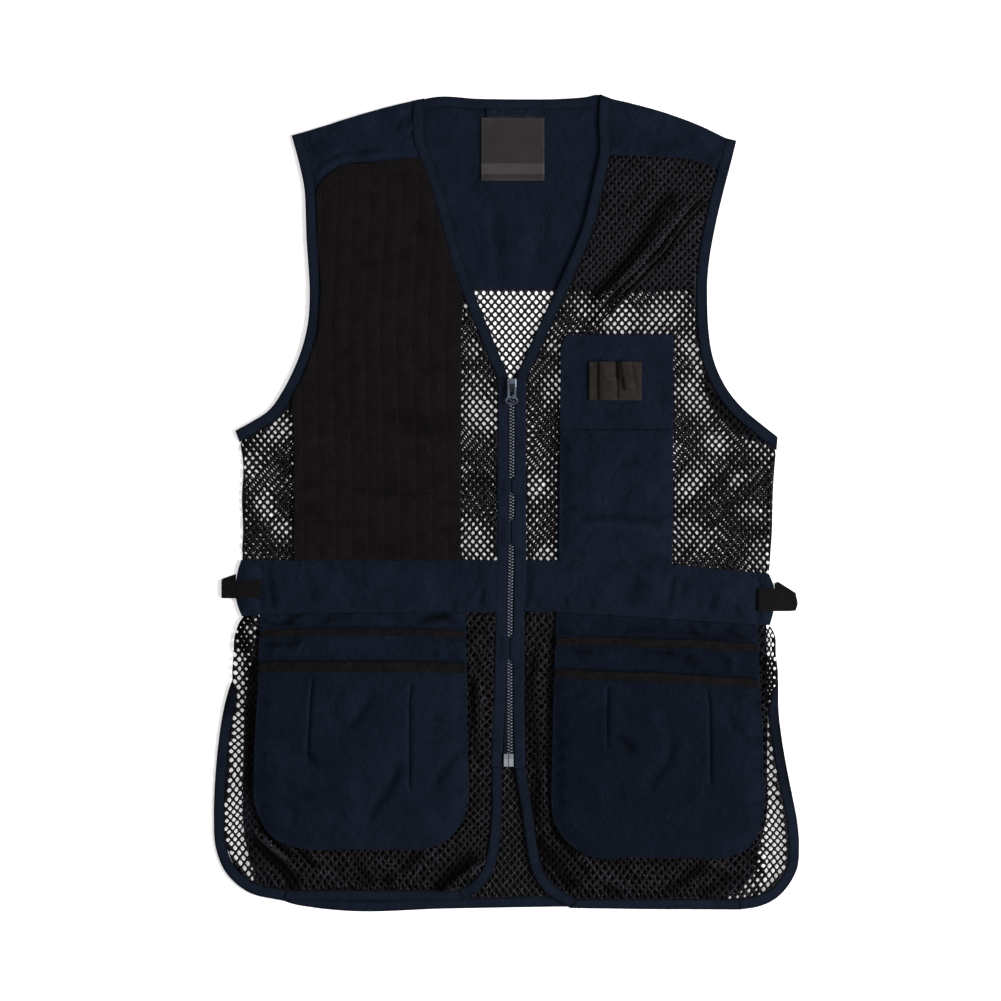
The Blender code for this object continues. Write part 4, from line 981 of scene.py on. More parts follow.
def drift(rise, scale, seed=0.0):
    """A slow unevenness of the whole surface."""
    return lambda points, distance, along: rise * swells(points / scale, seed)


def puckers(rise, period, reach):
    """Small gathers across a seam, strongest at the seam."""
    def relief(points, distance, along):
        total = np.zeros(len(points))
        near = distance < FOLD_REACH * reach
        places = np.column_stack([along, distance / PUCKER_LENGTH])[near] / period
        total[near] = rise * swells(places, PUCKER_SEED) * np.exp(-distance[near] / reach)
        return total
    return relief


def summed(*reliefs):
    """Several reliefs as one."""
    return lambda *where: sum(relief(*where) for relief in reliefs)


def quilt_shift(y):
    """How far the quilting lines wander sideways at a height."""
    return np.interp(y, QUILT_Y, QUILT_DRIFT)


def quilting(points, distance, along):
    """Padded channels between the stitched lines of the patch."""
    phase = (points[:, 0] - QUILT_FIRST - quilt_shift(points[:, 1])) / QUILT_PITCH
    return QUILT_PUFF * (np.abs(np.sin(math.pi * phase)) ** QUILT_FULLNESS - QUILT_SUNK)


def arches(points, distance, along):
    """The elastic band's loops, each an arch with steep ends."""
    x, y = points.T
    total = np.zeros(len(points))
    lower = (LOOP_Y[0] - y) / (LOOP_Y[0] - LOOP_Y[1])
    for upper_sides, lower_sides, foot in LOOPS:
        start, end = [a + (b - a) * lower for a, b in zip(upper_sides, lower_sides)]
        t = np.clip((x - start) / (end - start), 0.0, 1.0)
        arch = np.clip(np.sin(math.pi * t), 0.0, 1.0) ** LOOP_FULLNESS
        total += LOOP_RISE * arch * eased((y - foot) / LOOP_EASE)
    return total - SEAM_DEPTH * np.exp(-((x - LOOP_SEAM) / SEAM_WIDTH) ** 2)


def loop_outline(ring):
    """Draws the loops' band in at its top and its foot."""
    x, y = ring.T
    return np.column_stack([x, LOOP_MIDDLE + LOOP_SHRINK * (y - LOOP_MIDDLE)])


def bowed(layer):
    """Thins an elastic mouth, bows it up in its middle and makes it a little wavy."""
    def reshape(ring):
        middle, half = (ring.max(0) + ring.min(0)) / 2, (ring.max(0) - ring.min(0)) / 2
        across = (ring[:, 0] - middle[0]) / half[0]
        wave = swells(ring / TRIM_SWELLS, TRIM_SEED)
        up = TRIM_BOW[layer] * (TRIM_MIDDLE - across ** 2) + TRIM_WAVE * wave
        thin = TRIM_THIN[layer] * (ring[:, 1] - middle[1])
        return np.column_stack([ring[:, 0], middle[1] + thin + up])
    return reshape


def named(table, node):
    """The entry of a table whose name a node's name starts with."""
    return next(value for name, value in table.items() if node.startswith(name))


def wandering(net):
    """Uneven stretch of a net: a slow drift of its holes, and its gathers along folds."""
    seed = NET_SEEDS[net]

    def moved(points):
        places = points / NET_WANDER_SCALE
        drifted = np.column_stack([swells(places, seed), swells(places, seed + SECOND_SEED)])
        total = named(NET_WANDER, net) * drifted
        if net in NET_ZONES:
            over = np.zeros(len(points))
            for (place,), radius in NET_ZONES[net]:
                away = ((points - place) ** 2).sum(1) / radius ** 2
                over = np.maximum(over, np.exp(-away))
            total[:, 0] += (1.0 - over) * NET_SLIP[net]
            total *= (1.0 - ZONE_HOLD * over)[:, None]
        for near, gap, strength, values in near_folds(NET_FOLDS.get(net, []), points, NET_EASE):
            total[near] -= gap * (values[0] * strength)[:, None]
        return points + total
    return moved


def net_painted_shade(net):
    """Painted shade and painted highlight of a net along its folds."""
    return creases(NET_PAINTED_SHADE.get(net, []), gain=1.0, ease=NET_SHADE_EASE)


def hole_sizes(net, places):
    """How large a net's holes are against their usual size: uneven, and small where slack."""
    uneven = named(NET_UNEVEN, net)
    varied = swells(places * HOLE_SWELLS, NET_SEEDS[net] + HOLE_SEED)
    slack = 1.0 - (1.0 - NET_SLACK) * eased((places[:, 1] - NET_SLACK_Y) / SLACK_EASE)
    strip = 1.0
    if net.startswith("front_net_lower"):
        in_strip = eased((np.abs(places[:, 0]) - NET_STRIP_X) / STRIP_EASE)
        strip += (NET_STRIP - 1.0) * in_strip
        uneven *= 1.0 - in_strip
    folded = np.minimum(net_painted_shade(net)(places, None, None), 0.0)
    closed = np.clip(1.0 + NET_CLOSING * folded, CLOSED_HOLE, 1.0)
    return np.clip(1.0 + uneven * varied, *HOLE_RANGE) * slack * strip * closed


def net_relief(net):
    """The rise of a net along its folds, over a slow unevenness."""
    slow = drift(named(NET_SWELL, net), NET_SWELL_SCALE, NET_SEEDS[net])
    return summed(slow, creases(NET_FOLDS.get(net, []), gain=1.0, ease=NET_FOLD_EASE))


def clear_of(ring, drawn, inset):
    """Those points of a ring drawn in that have kept clear of the ring."""
    return drawn[(nearest(ring, drawn)[0] > KEPT_CLEAR * inset) & inside(ring, drawn)]


def filled(ring, rings, pitch, clear, guides=()):
    """Triangles inside a ring, with points on rings drawn in, on guides and on a lattice."""
    low, high = ring.min(0), ring.max(0)
    rise = pitch * math.sqrt(0.75)
    grid = np.array([(low[0] + (column + 0.5 * (row % 2)) * pitch, low[1] + row * rise)
                     for row in range(int((high[1] - low[1]) / rise) + 2)
                     for column in range(-1, int((high[0] - low[0]) / pitch) + 2)])
    grid = grid[inside(ring, grid)]
    parts = [ring] + [clear_of(ring, drawn, inset) for inset, drawn in rings]
    if len(grid):
        grid = grid[nearest(ring, grid)[0] > clear]
    for path in guides:
        lines = guide_lines(path, pitch)
        lines = lines[inside(ring, lines)]
        if len(lines):
            parts.append(lines[nearest(ring, lines)[0] > clear])
        near = near_path(path, grid, 2 * pitch)
        far = np.ones(len(grid), bool)
        if near.any():
            gap = path_gap(path, grid[near])[0]
            far[near] = np.linalg.norm(gap, axis=1) > GUIDE + LATTICE_GAP * pitch
        grid = grid[far]
    points = np.concatenate(parts + [grid])
    count = len(ring)
    edges = [(i, (i + 1) % count) for i in range(count)]
    _, _, faces, origins, _, _ = delaunay_2d_cdt(
        [Vector(point) for point in points], edges, [], 1, 1e-4, True)
    source = [ids[0] for ids in origins]
    return points, enclosed([[source[i] for i in face] for face in faces], count)


def travelled(path):
    """The length along a path at each of its points."""
    return np.concatenate([[0.0], np.cumsum(np.linalg.norm(np.diff(path, axis=0), axis=1))])


def read_at(path, lengths, steps):
    """The points of a path at some lengths along it."""
    return np.column_stack([np.interp(steps, lengths, column) for column in path.T])


def stepped(path, step):
    """Points along a path, a step apart."""
    path = np.array(path, float)
    lengths = travelled(path)
    return read_at(path, lengths, np.arange(0.0, lengths[-1], step))


def sideways(line):
    """The way to the left at each point of a line."""
    run = np.gradient(line, axis=0)
    return np.column_stack([-run[:, 1], run[:, 0]]) / np.linalg.norm(run, axis=1)[:, None]


def guide_lines(path, pitch):
    """Points along a path and beside it."""
    line = stepped(path, GUIDE_STEP * pitch)
    return np.concatenate([line + sideways(line) * shift for shift in (-GUIDE, 0.0, GUIDE)])


def enclosed(triangles, count):
    """Those of the anticlockwise triangles that lie inside the ring of the first points."""
    owner = {run: number for number, (a, b, c) in enumerate(triangles)
             for run in ((a, b), (b, c), (c, a))}
    walls = {(i, (i + 1) % count) for i in range(count)}
    found = {owner[run] for run in walls}
    queue = list(found)
    while queue:
        a, b, c = triangles[queue.pop()]
        for start, end in ((a, b), (b, c), (c, a)):
            other = owner.get((end, start))
            if (start, end) not in walls and other not in found:
                found.add(other)
                queue.append(other)
    return np.array([triangles[number] for number in sorted(found)])


def edge_shade(points, distance, along):
    """Painted shade: a dark line along both edges of a bound edge."""
    return -EDGE_SHADE_DEPTH * np.exp(-(distance / EDGE_SHADE_WIDTH) ** 2)


def set_painted_shade(piece, tone):
    """Says how much darker or lighter a piece's finish is painted at each of its points, as
    painted shade and highlight, against its usual tone.
    """
    layer = piece.data.attributes.new("tone", "FLOAT", "POINT")
    layer.data.foreach_set("value", np.clip(tone, *PAINTED_SHADE_RANGE).astype(np.float32))


def panel(node, finish, pitch=PITCH, relief=no_relief, profile=ROUNDED, level_under=False,
          guides=(), reshape=None, wall=None, shade=no_relief):
    """A cloth piece that replaces a node: a closed shell with rounded edges and its relief.

    Its shade is painted shade and highlight: how much darker or lighter the cloth is painted
    where it is creased.
    """
    solid = Solid(node)
    ring = offset(smoothed(solid.ring, pitch), -SEAM_REACH)
    if reshape:
        ring = reshape(ring)
    insets, shares_above, shares_below = zip(*profile)
    rings = [(inset, offset(ring, inset)) for inset in insets[1:]]
    flat, triangles = filled(ring, rings, pitch, insets[-1] + LATTICE_GAP * pitch, guides)
    distance, along, _ = nearest(ring, flat)
    distance[:len(ring)] = 0.0
    high = relief(flat, distance, along)
    under = solid.under(flat) + (0.0 if level_under else np.maximum(high, 0.0))
    top = solid.under(flat) + (wall or solid.thickness) + high
    top = np.maximum(top, under + MIN_WALL)
    middle = (under + top) / 2
    upper = middle + (top - middle) * np.interp(distance, insets, shares_above)
    lower = middle - (middle - under) * np.interp(distance, insets, shares_below)
    upper, lower = np.column_stack([flat, upper]), np.column_stack([flat, lower])
    here, lift = np.arange(len(ring)), len(flat)
    there = np.roll(here, -1)
    sides = [np.column_stack([here, there + lift, there]),
             np.column_stack([here, here + lift, there + lift])]
    everything = np.concatenate([triangles, triangles[:, ::-1] + lift] + sides)
    piece = mesh_object(f"{node}_cloth", np.concatenate([upper, lower]), everything, finish,
                        slot=SLOTS.get(finish))
    set_painted_shade(piece, np.tile(1.0 + shade(flat, distance, along), 2))
    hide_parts(node)
    declare(ring)
    tree = BVHTree.FromPolygons([Vector(point) for point in upper], triangles.tolist())
    SURFACES[node] = (ring, tree)


def net(node):
    """A net that replaces a node: a lattice of cells, each with a hole, sewn along its edge."""
    solid = Solid(node)
    ring = smoothed(solid.ring, PITCH)
    unit = np.array(NET_PITCH) / 2
    warp, relief = wandering(node), net_relief(node)
    low = np.floor(ring.min(0) / unit).astype(int) - NET_MARGIN
    high = np.ceil(ring.max(0) / unit).astype(int) + NET_MARGIN
    u, v = np.meshgrid(np.arange(low[0], high[0]), np.arange(low[1], high[1]))
    cells = np.column_stack([u.ravel(), v.ravel()])
    cells = cells[(cells.sum(1) % 2) == 0]
    centres = warp(cells * unit)
    chosen = inside(ring, centres)
    chosen[chosen] = nearest(ring, centres[chosen])[0] > NET_EDGE_CLEAR
    cells = cells[chosen]

    corners = np.array([(1, 0), (0, 1), (-1, 0), (0, -1)])
    knots, knot_of = np.unique((cells[:, None] + corners).reshape(-1, 2), axis=0,
                               return_inverse=True)
    knot_of = knot_of.reshape(-1, 4)
    shared = np.bincount(knot_of.ravel(), minlength=len(knots))
    knot_xy = warp(knots * unit)
    on_edge = (shared < 4) | ~inside(ring, knot_xy)
    knot_xy[on_edge] = nearest(ring, knot_xy[on_edge])[2]

    k = NET_HOLE_DIAGONAL
    hole = np.array([(1, 0), (k, k), (0, 1), (-k, k), (-1, 0), (-k, -k), (0, -1), (k, -k)])
    sizes = hole_sizes(node, centres[chosen])
    hole = hole * (named(NET_HOLES, node) / unit) * sizes[:, None, None]
    hole_xy = warp((cells[:, None] + hole).reshape(-1, 2) * unit)
    outside = ~inside(ring, hole_xy)
    if outside.any():
        hole_xy[outside] = nearest(ring, hole_xy[outside])[2]

    def level(points):
        lifted = np.maximum(relief(points, None, None), NET_RIDGE - solid.thickness / 2)
        return solid.under(points) + solid.thickness / 2 + lifted

    LEVELS[node] = level
    flat = np.concatenate([knot_xy, hole_xy])
    count, lift = len(knots), len(flat)
    above = np.column_stack([flat, level(flat)])
    below = above[:count] - (0.0, 0.0, NET_RIDGE)
    above[:count, 2] += NET_RIDGE

    edge = count + np.arange(len(cells) * 8).reshape(-1, 8)
    faces, runs = [], []
    for corner in range(4):
        knot, after = knot_of[:, corner], knot_of[:, (corner + 1) % 4]
        here, side, there = (edge[:, (2 * corner + step) % 8] for step in range(3))
        faces += [(knot, side, here), (knot, after, side), (after, there, side),
                  (knot + lift, here, side), (knot + lift, side, after + lift),
                  (after + lift, side, there)]
        runs += np.column_stack([knot, after]).tolist()
    seen = {tuple(run) for run in runs}
    start, end = np.array([run for run in runs if (run[1], run[0]) not in seen]).T
    faces += [(start, end + lift, end), (start, start + lift, end + lift)]
    triangles = np.concatenate([np.column_stack(face) for face in faces])
    piece = mesh_object(f"{node}_mesh", np.concatenate([above, below]), triangles,
                        NET_FINISH[node.split("_")[0]], "black_net")
    # Painted shade and painted highlight along the folds, as a tone at each point
    tone = 1.0 + net_painted_shade(node)(flat, None, None)
    set_painted_shade(piece, np.concatenate([tone, tone[:count]]))
    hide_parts(node)
    declare(ring)


def stitches(name, finish, rows, slot, length=STITCH, gap=STITCH_GAP, width=STITCH_WIDTH):
    """Rows of stitches as one mesh: each row is a run of points on a surface."""
    points = []
    for row in rows:
        lengths = travelled(row)
        starts = np.arange(gap, lengths[-1] - length, length + gap)
        if not len(starts):
            continue
        a, b = read_at(row, lengths, starts), read_at(row, lengths, starts + length)
        run = (b - a) / np.linalg.norm(b - a, axis=1)[:, None]
        side = np.column_stack([-run[:, 1], run[:, 0], np.zeros(len(run))]) * width / 2
        up = np.array([0.0, 0.0, STITCH_RISE])
        mid = (a + b) / 2
        points.append(np.stack([a - up / 3, b - up / 3, mid - side, mid + side, mid + up,
                                mid - up], axis=1))
    points = np.concatenate(points)
    first = 6 * np.arange(len(points))
    faces = (first[:, None, None] + np.array(STITCH_FACES)).reshape(-1, 3)
    mesh_object(name, points.reshape(-1, 3), faces, finish, slot=slot)


def painted_fold_strips(finish, nets):
    """Narrow strips along the nets' folds, as one mesh: painted shadow in the dark finish,
    painted highlight in the light one.
    """
    points, faces, first = [], [], 0
    for net_name, paths in nets.items():
        for (path,) in paths:
            line = stepped(path, EDGE_STEP)
            ends = np.minimum(np.arange(len(line)), np.arange(len(line))[::-1])
            half = EDGE_WIDTH[finish] / 2 * eased((ends + 1) / EDGE_TAPER)
            side = sideways(line) * half[:, None]
            level = LEVELS[net_name](line) + EDGE_LIFT[finish]
            corners = [np.column_stack([line + shift * side, level + rise])
                       for shift, rise in ((-1, 0), (0, -EDGE_RISE), (1, 0), (0, EDGE_RISE))]
            points.append(np.stack(corners, axis=1).reshape(-1, 3))
            base = first + 4 * np.arange(len(line) - 1)
            for i in range(4):
                j = (i + 1) % 4
                faces += [np.column_stack([base + i, base + j, base + j + 4]),
                          np.column_stack([base + i, base + j + 4, base + i + 4])]
            last = first + 4 * (len(line) - 1)
            faces.append(np.array([(first, first + 2, first + 1), (first, first + 3, first + 2),
                                   (last, last + 1, last + 2), (last, last + 2, last + 3)]))
            first += 4 * len(line)
    mesh_object(finish, np.concatenate(points), np.concatenate(faces), finish, "black_net")


def on_surface(node, path):
    """A run of points laid on the upper side of a finished piece."""
    tree = SURFACES[node][1]
    hits = [tree.ray_cast(Vector((x, y, READ_FROM)), DOWN)[0] for x, y in path]
    return np.array([tuple(hit) for hit in hits if hit is not None]).reshape(-1, 3)


def stretch(ring, first, last):
    """The numbers of a ring's points from one to another."""
    return (first + np.arange((last - first) % len(ring) + 1)) % len(ring)


def seam(node, inset=STITCH_INSET, start=None, end=None):
    """A row of stitching beside a piece's edge, all round or from one place to another."""
    ring = SURFACES[node][0]
    drawn = offset(ring, inset)
    if start is None:
        path = clear_of(ring, drawn, inset)
        return on_surface(node, np.concatenate([path, path[:1]]))
    first, last = (np.linalg.norm(ring - place, axis=1).argmin() for place in (start, end))
    return on_surface(node, clear_of(ring, drawn[stretch(ring, first, last)], inset))


def long_seam(node, towards, inset=BINDING_INSET):
    """A row of stitching along that long side of a strip that is nearer to a place."""
    ring = SURFACES[node][0]
    corners = np.sort(np.argsort(-turns(ring)[2])[:4])
    sides = [stretch(ring, first, last) for first, last in zip(corners, np.roll(corners, -1))]
    longer = sorted(sides, key=lambda order: -len(order))[:2]
    best = min(longer, key=lambda order: np.linalg.norm(ring[order] - towards, axis=1).mean())
    return on_surface(node, offset(ring, inset)[best[1:-1]])


def straight(node, *path, step=4.0):
    """A row of stitching along a path of a few points."""
    return on_surface(node, stepped(path, step))


def zip_line(y):
    """The zip's middle at a height."""
    return np.interp(y, ZIP_Y, ZIP_X)


def lip(y):
    """How far the plackets' edges lie over the teeth at a height, from 0 to 1."""
    return sum(eased((top - y) / LIP_EASE) * eased((y - foot) / LIP_EASE) for top, foot in LIPS)


def at_zip(points):
    """How near points are to the zip, from 1 at its edges to 0."""
    return eased((LIP_FAR - np.abs(points[:, 0] - zip_line(points[:, 1]))) / LIP_BLEND)


def lipped(side):
    """Draws a placket's edge over the teeth where it covers them."""
    def reshape(ring):
        shift = LIP_REACH[side] * lip(ring[:, 1]) * at_zip(ring)
        return ring + np.column_stack([shift, np.zeros(len(ring))])
    return reshape


def lip_relief(points, distance, along):
    """The rise of a placket where it lies over the teeth."""
    return LIP_RISE * lip(points[:, 1]) * at_zip(points)


def build_teeth():
    """Two rows of teeth on the tape, set as chevrons."""
    under = Solid("zip_chain").under
    long, wide = TOOTH_LENGTH / 2, TOOTH_WIDTH / 2
    quarter = [(long, TOOTH_BLUNT * wide), (TOOTH_SHOULDER * long, wide)]
    half = quarter + [(-x, y) for x, y in quarter[::-1]]
    foot = np.array(half + [(x, -y) for x, y in half[::-1]])
    side = [(a, (a + 1) % 8) for a in range(8)]
    faces = [(a + low, b + low, b + low + 8) for low in (0, 8) for a, b in side]
    faces += [(a + low, b + low + 8, a + low + 8) for low in (0, 8) for a, b in side]
    faces += [(16, 16 + i, 17 + i) for i in range(1, 7)] + [(0, i + 1, i) for i in range(1, 7)]
    points = []
    for sign, shift in ((-1.0, 0.0), (1.0, 0.5)):
        turn = sign * TOOTH_TURN
        turned = foot @ np.array([(math.cos(turn), math.sin(turn)),
                                  (-math.sin(turn), math.cos(turn))])
        for y in np.arange(TOOTH_FOOT + shift * TOOTH_PERIOD, TOOTH_TOP, TOOTH_PERIOD):
            middle = np.array([zip_line(y) + sign * TOOTH_OUT, y])
            low = float(under(middle[None])[0])
            high = low + TOOTH_HIGH + (TOOTH_COVERED - TOOTH_HIGH) * float(lip(y))
            for share, z in ((1.0, low + TOOTH_LOW), (1.0, high - TOOTH_BEVEL),
                             (TOOTH_CROWN, high)):
                points.append(np.column_stack([middle + share * turned, np.full(8, z)]))
    first = 24 * np.arange(len(points) // 3)
    triangles = (first[:, None, None] + np.array(faces)).reshape(-1, 3)
    piece = mesh_object("zip_teeth", np.concatenate(points), triangles, "zip_teeth",
                        slot="zip_chain")
    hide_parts("zip_chain")


def feed(item, socket, value):
    """Links an input of a material's node to another node, or sets it to a value."""
    if isinstance(value, bpy.types.NodeSocket):
        item.node_tree.links.new(value, socket)
    else:
        socket.default_value = value


def add(item, kind, **inputs):
    """A new node of a material, with what its inputs take, by name."""
    node = item.node_tree.nodes.new(kind)
    for name, value in inputs.items():
        feed(item, node.inputs[name], value)
    return node


def computed(item, operation, *values):
    """The outcome of arithmetic on values or sockets."""
    node = item.node_tree.nodes.new("ShaderNodeMath")
    node.operation = operation
    for socket, value in zip(node.inputs, values):
        feed(item, socket, value)
    return node.outputs[0]


def place_in(item):
    """Where a point of a piece lies, for a finish."""
    return add(item, "ShaderNodeTexCoord").outputs["Object"]


def speckle(item, size, **values):
    """Noise of a size in millimetres."""
    return add(item, "ShaderNodeTexNoise", Vector=place_in(item), Scale=1.0 / (size * MM),
               **values).outputs["Fac"]


def principled(name, roughness, metallic=0.0, sheen=0.0, specular=0.5):
    """A new material and its shader, with the numbers that are the same all over it."""
    item = bpy.data.materials.new(f"{name}_finish")
    item.use_nodes = True
    shader = item.node_tree.nodes["Principled BSDF"]
    for socket, value in (("Roughness", roughness), ("Metallic", metallic),
                          ("Specular IOR Level", specular), ("Sheen Weight", sheen),
                          ("Sheen Roughness", 0.5)):
        shader.inputs[socket].default_value = value
    return item, shader


def coloured(item, shader, dark, light, patch):
    """Slow changes of colour between two tones, over patches of a size."""
    tones = [speckle(item, size, Detail=detail, Roughness=0.65)
             for size, detail in ((patch, 6.0), (GRAIN, 2.0))]
    mixed = computed(item, "MULTIPLY", computed(item, "ADD", *tones), 0.5)
    ramp = add(item, "ShaderNodeValToRGB", Fac=mixed)
    for element, place, colour in zip(ramp.color_ramp.elements, TONE_STOPS, (dark, light)):
        element.position = place
        element.color = (*colour, 1.0)
    feed(item, shader.inputs["Base Color"], ramp.outputs["Color"])
    return ramp.outputs["Color"]


def bumped(item, shader, height, strength, depth, crumple=0.0):
    """A bump from a height on the shader's normal, over small crumples of the cloth."""
    relief = add(item, "ShaderNodeBump", Strength=strength, Distance=depth * MM, Height=height)
    feed(item, shader.inputs["Normal"], relief.outputs["Normal"])
    if crumple:
        folds = speckle(item, CRUMPLE_SIZE, Detail=3.0, Roughness=0.5, Distortion=1.0)
        soft = add(item, "ShaderNodeBump", Strength=1.0, Distance=crumple * MM, Height=folds)
        feed(item, relief.inputs["Normal"], soft.outputs["Normal"])


def thousandths(tones):
    """Tones as shares of one."""
    return [[value / 1000.0 for value in tone] for tone in tones]


def woven(name, dark, light, roughness, thread, bump, sheen=0.0, patch=30.0, angle=0.0,
          rib=1.0, crumple=0.0):
    """A woven finish: crossing threads in the bump, and slow and fine changes of colour."""
    item, shader = principled(name, roughness, sheen=sheen, specular=CLOTH_SPECULAR)
    turned = add(item, "ShaderNodeMapping", Vector=place_in(item),
                 Rotation=(0.0, 0.0, math.radians(angle)))
    scale = 2 * math.pi / (20 * thread * MM)
    waves = []
    for direction, share in (("X", 1.0), ("Y", rib)):
        wave = add(item, "ShaderNodeTexWave", Vector=turned.outputs["Vector"],
                   Scale=scale * share)
        wave.bands_direction = direction
        waves.append(wave.outputs["Fac"])
    slub = speckle(item, SLUB, Detail=4.0, Roughness=0.7)
    height = computed(item, "ADD", computed(item, "MULTIPLY", *waves), slub)
    bumped(item, shader, height, bump, WEAVE_DEPTH, crumple)
    coloured(item, shader, *thousandths((dark, light)), patch)
    return item


def napped(name, dark, light, nap, bump, sheen, patch):
    """A brushed finish: a fine uneven nap, and brushed patches."""
    item, shader = principled(name, 0.95, sheen=sheen, specular=0.03)
    fibres = speckle(item, nap, Detail=7.0, Roughness=0.75)
    bumped(item, shader, fibres, bump, NAP_DEPTH, crumple=1.5)
    coloured(item, shader, *thousandths((dark, light)), patch)
    return item


def metal(name, colour, roughness):
    """Enamelled metal with faint handling marks."""
    item, shader = principled(name, roughness, metallic=0.8)
    tones = [[share * value for value in colour] for share in METAL_TONES]
    marks = coloured(item, shader, *tones, METAL_PATCH)
    bumped(item, shader, marks, 0.15, METAL_DEPTH)
    return item


def scaled_by(item, factor):
    """Multiplies a finish's colour by a value that varies."""
    colour = item.node_tree.nodes["Principled BSDF"].inputs["Base Color"]
    scaled = item.node_tree.nodes.new("ShaderNodeVectorMath")
    scaled.operation = "SCALE"
    feed(item, scaled.inputs[0], colour.links[0].from_socket)
    feed(item, scaled.inputs["Scale"], factor)
    feed(item, colour, scaled.outputs[0])


def with_painted_shade(item):
    """Lets each piece paint shade and highlight into the finish at its points."""
    tone = item.node_tree.nodes.new("ShaderNodeAttribute")
    tone.attribute_name = "tone"
    scaled_by(item, tone.outputs["Fac"])


def knit_shaded(item):
    """Painted shade in the gaps between a net's yarns, with the yarn between them painted
    lighter.
    """
    loops = add(item, "ShaderNodeTexVoronoi", Vector=place_in(item), Scale=1.0 / (KNIT * MM),
                Randomness=0.6)
    gaps = add(item, "ShaderNodeMapRange", Value=loops.outputs["Distance"], **KNIT_GAP_SHADE)
    scaled_by(item, gaps.outputs["Result"])


def toned(item, boxes):
    """Darkens or lightens a finish inside boxes, each with its sides in X and Y and its gain."""
    split = add(item, "ShaderNodeSeparateXYZ", Vector=place_in(item))
    for left, right, low, high, gain in boxes:
        within = [computed(item, "COMPARE", split.outputs[axis], (start + end) / 2 * MM,
                           (end - start) / 2 * MM)
                  for axis, start, end in (("X", left, right), ("Y", low, high))]
        gains = add(item, "ShaderNodeMapRange", Value=computed(item, "MULTIPLY", *within),
                    **{"To Min": 1.0, "To Max": gain})
        scaled_by(item, gains.outputs["Result"])


def make_finishes():
    """Every finish by its slot in the record, and the further ones of threads and parts."""
    finishes = {name: woven(name, *values, **more) for name, (*values, more) in WEAVES.items()}
    finishes["suede_patch"] = napped("suede_patch", *SUEDE)
    for name, (colour, roughness) in METALS.items():
        finishes[name] = metal(name, colour, roughness)
    for name in KNIT_SHADED:
        knit_shaded(finishes[name])
    for name in PAINTED_SHADE_FINISHES + KNIT_SHADED:
        with_painted_shade(finishes[name])
    for name, boxes in TONED.items():
        toned(finishes[name], boxes)
    return finishes


# Unevenness of the cloths, and puckers at their seams
SOFT = summed(drift(0.8, 38.0), puckers(0.8, 7.0, 8.0))
BINDING_RELIEF = summed(drift(0.4, 24.0, 2.0), puckers(0.7, 4.5, 6.0))
BACK_RELIEF = drift(0.5, 45.0, 5.0)
TRIM_RELIEF = summed(drift(0.9, 14.0, 4.0), puckers(0.9, 3.0, 5.0))
TAPE_RELIEF = summed(drift(1.6, 6.0, 6.0), puckers(0.8, 3.0, 5.0))
LABEL_RELIEF = drift(0.3, 25.0, 1.0)
PLACKET_RELIEF = summed(drift(0.15, 20.0, 2.0), lip_relief)
PATCH_RELIEF = summed(drift(0.6, 42.0), quilting)

# What is built so far: each piece's outline and upper side, and each net's heights
SURFACES = {}
LEVELS = {}
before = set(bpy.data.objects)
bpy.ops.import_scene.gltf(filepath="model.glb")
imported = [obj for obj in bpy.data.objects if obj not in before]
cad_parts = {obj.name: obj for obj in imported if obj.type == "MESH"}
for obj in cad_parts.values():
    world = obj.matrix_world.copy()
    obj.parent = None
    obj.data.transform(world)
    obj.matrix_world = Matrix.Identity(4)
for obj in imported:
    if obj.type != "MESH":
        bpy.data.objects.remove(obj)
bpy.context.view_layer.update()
FINISHES = make_finishes()


def drawn_in(ring):
    """Draws the right armhole's back edge in, below the arm."""
    top, foot = ARMHOLE_SLACK
    fade_top, fade_foot = ARMHOLE_FADE
    share = eased((top - ring[:, 1]) / fade_top) * eased((ring[:, 1] - foot) / fade_foot)
    return ring + share[:, None] * ARMHOLE_SHIFT


def neck_outline(ring):
    """Draws the neck's back edge wider and lower."""
    return ring * (NECK_STRETCH, 1.0) - (0.0, NECK_DROP)


def crease_shade(node, table):
    """Painted shade in a piece's creases and painted highlight on its ridges."""
    return creases(table, gain=named(CREASE_SHADE, node))


def creased(node, table, *reliefs, finish="navy_cloth", **more):
    """A topstitched panel with creases, painted darker in them and lighter on the ridges."""
    panel(node, finish, relief=summed(*reliefs, creases(table)),
          shade=crease_shade(node, table), **{"profile": TOPSTITCHED, **more})


def build_back():
    """The back's panels and bound edges, flat on the floor."""
    creased("back_yoke", BACK_YOKE_CREASES, BACK_RELIEF, profile=ROUNDED, level_under=True)
    for node, finish in (("back_waistband", "navy_cloth"), ("back_pouch", "shaded_pouch_cloth")):
        panel(node, finish, pitch=COARSE_PITCH, relief=BACK_RELIEF, level_under=True)
    net("back_net_upper")
    net("back_net_lower")
    for name, reshape in (("armhole_binding_left", None), ("hem_binding", None),
                          ("side_binding_left", None), ("side_binding_right", None),
                          ("neck_binding", neck_outline), ("armhole_binding_right", drawn_in)):
        panel(f"back_{name}", "navy_binding", profile=BOUND, level_under=True, shade=edge_shade,
              reshape=reshape)
    panel("hanger_tape", "navy_binding", pitch=HANGER_PITCH, relief=TAPE_RELIEF)
    panel("neck_label", "charcoal_label", pitch=STRIP_PITCH, relief=LABEL_RELIEF)


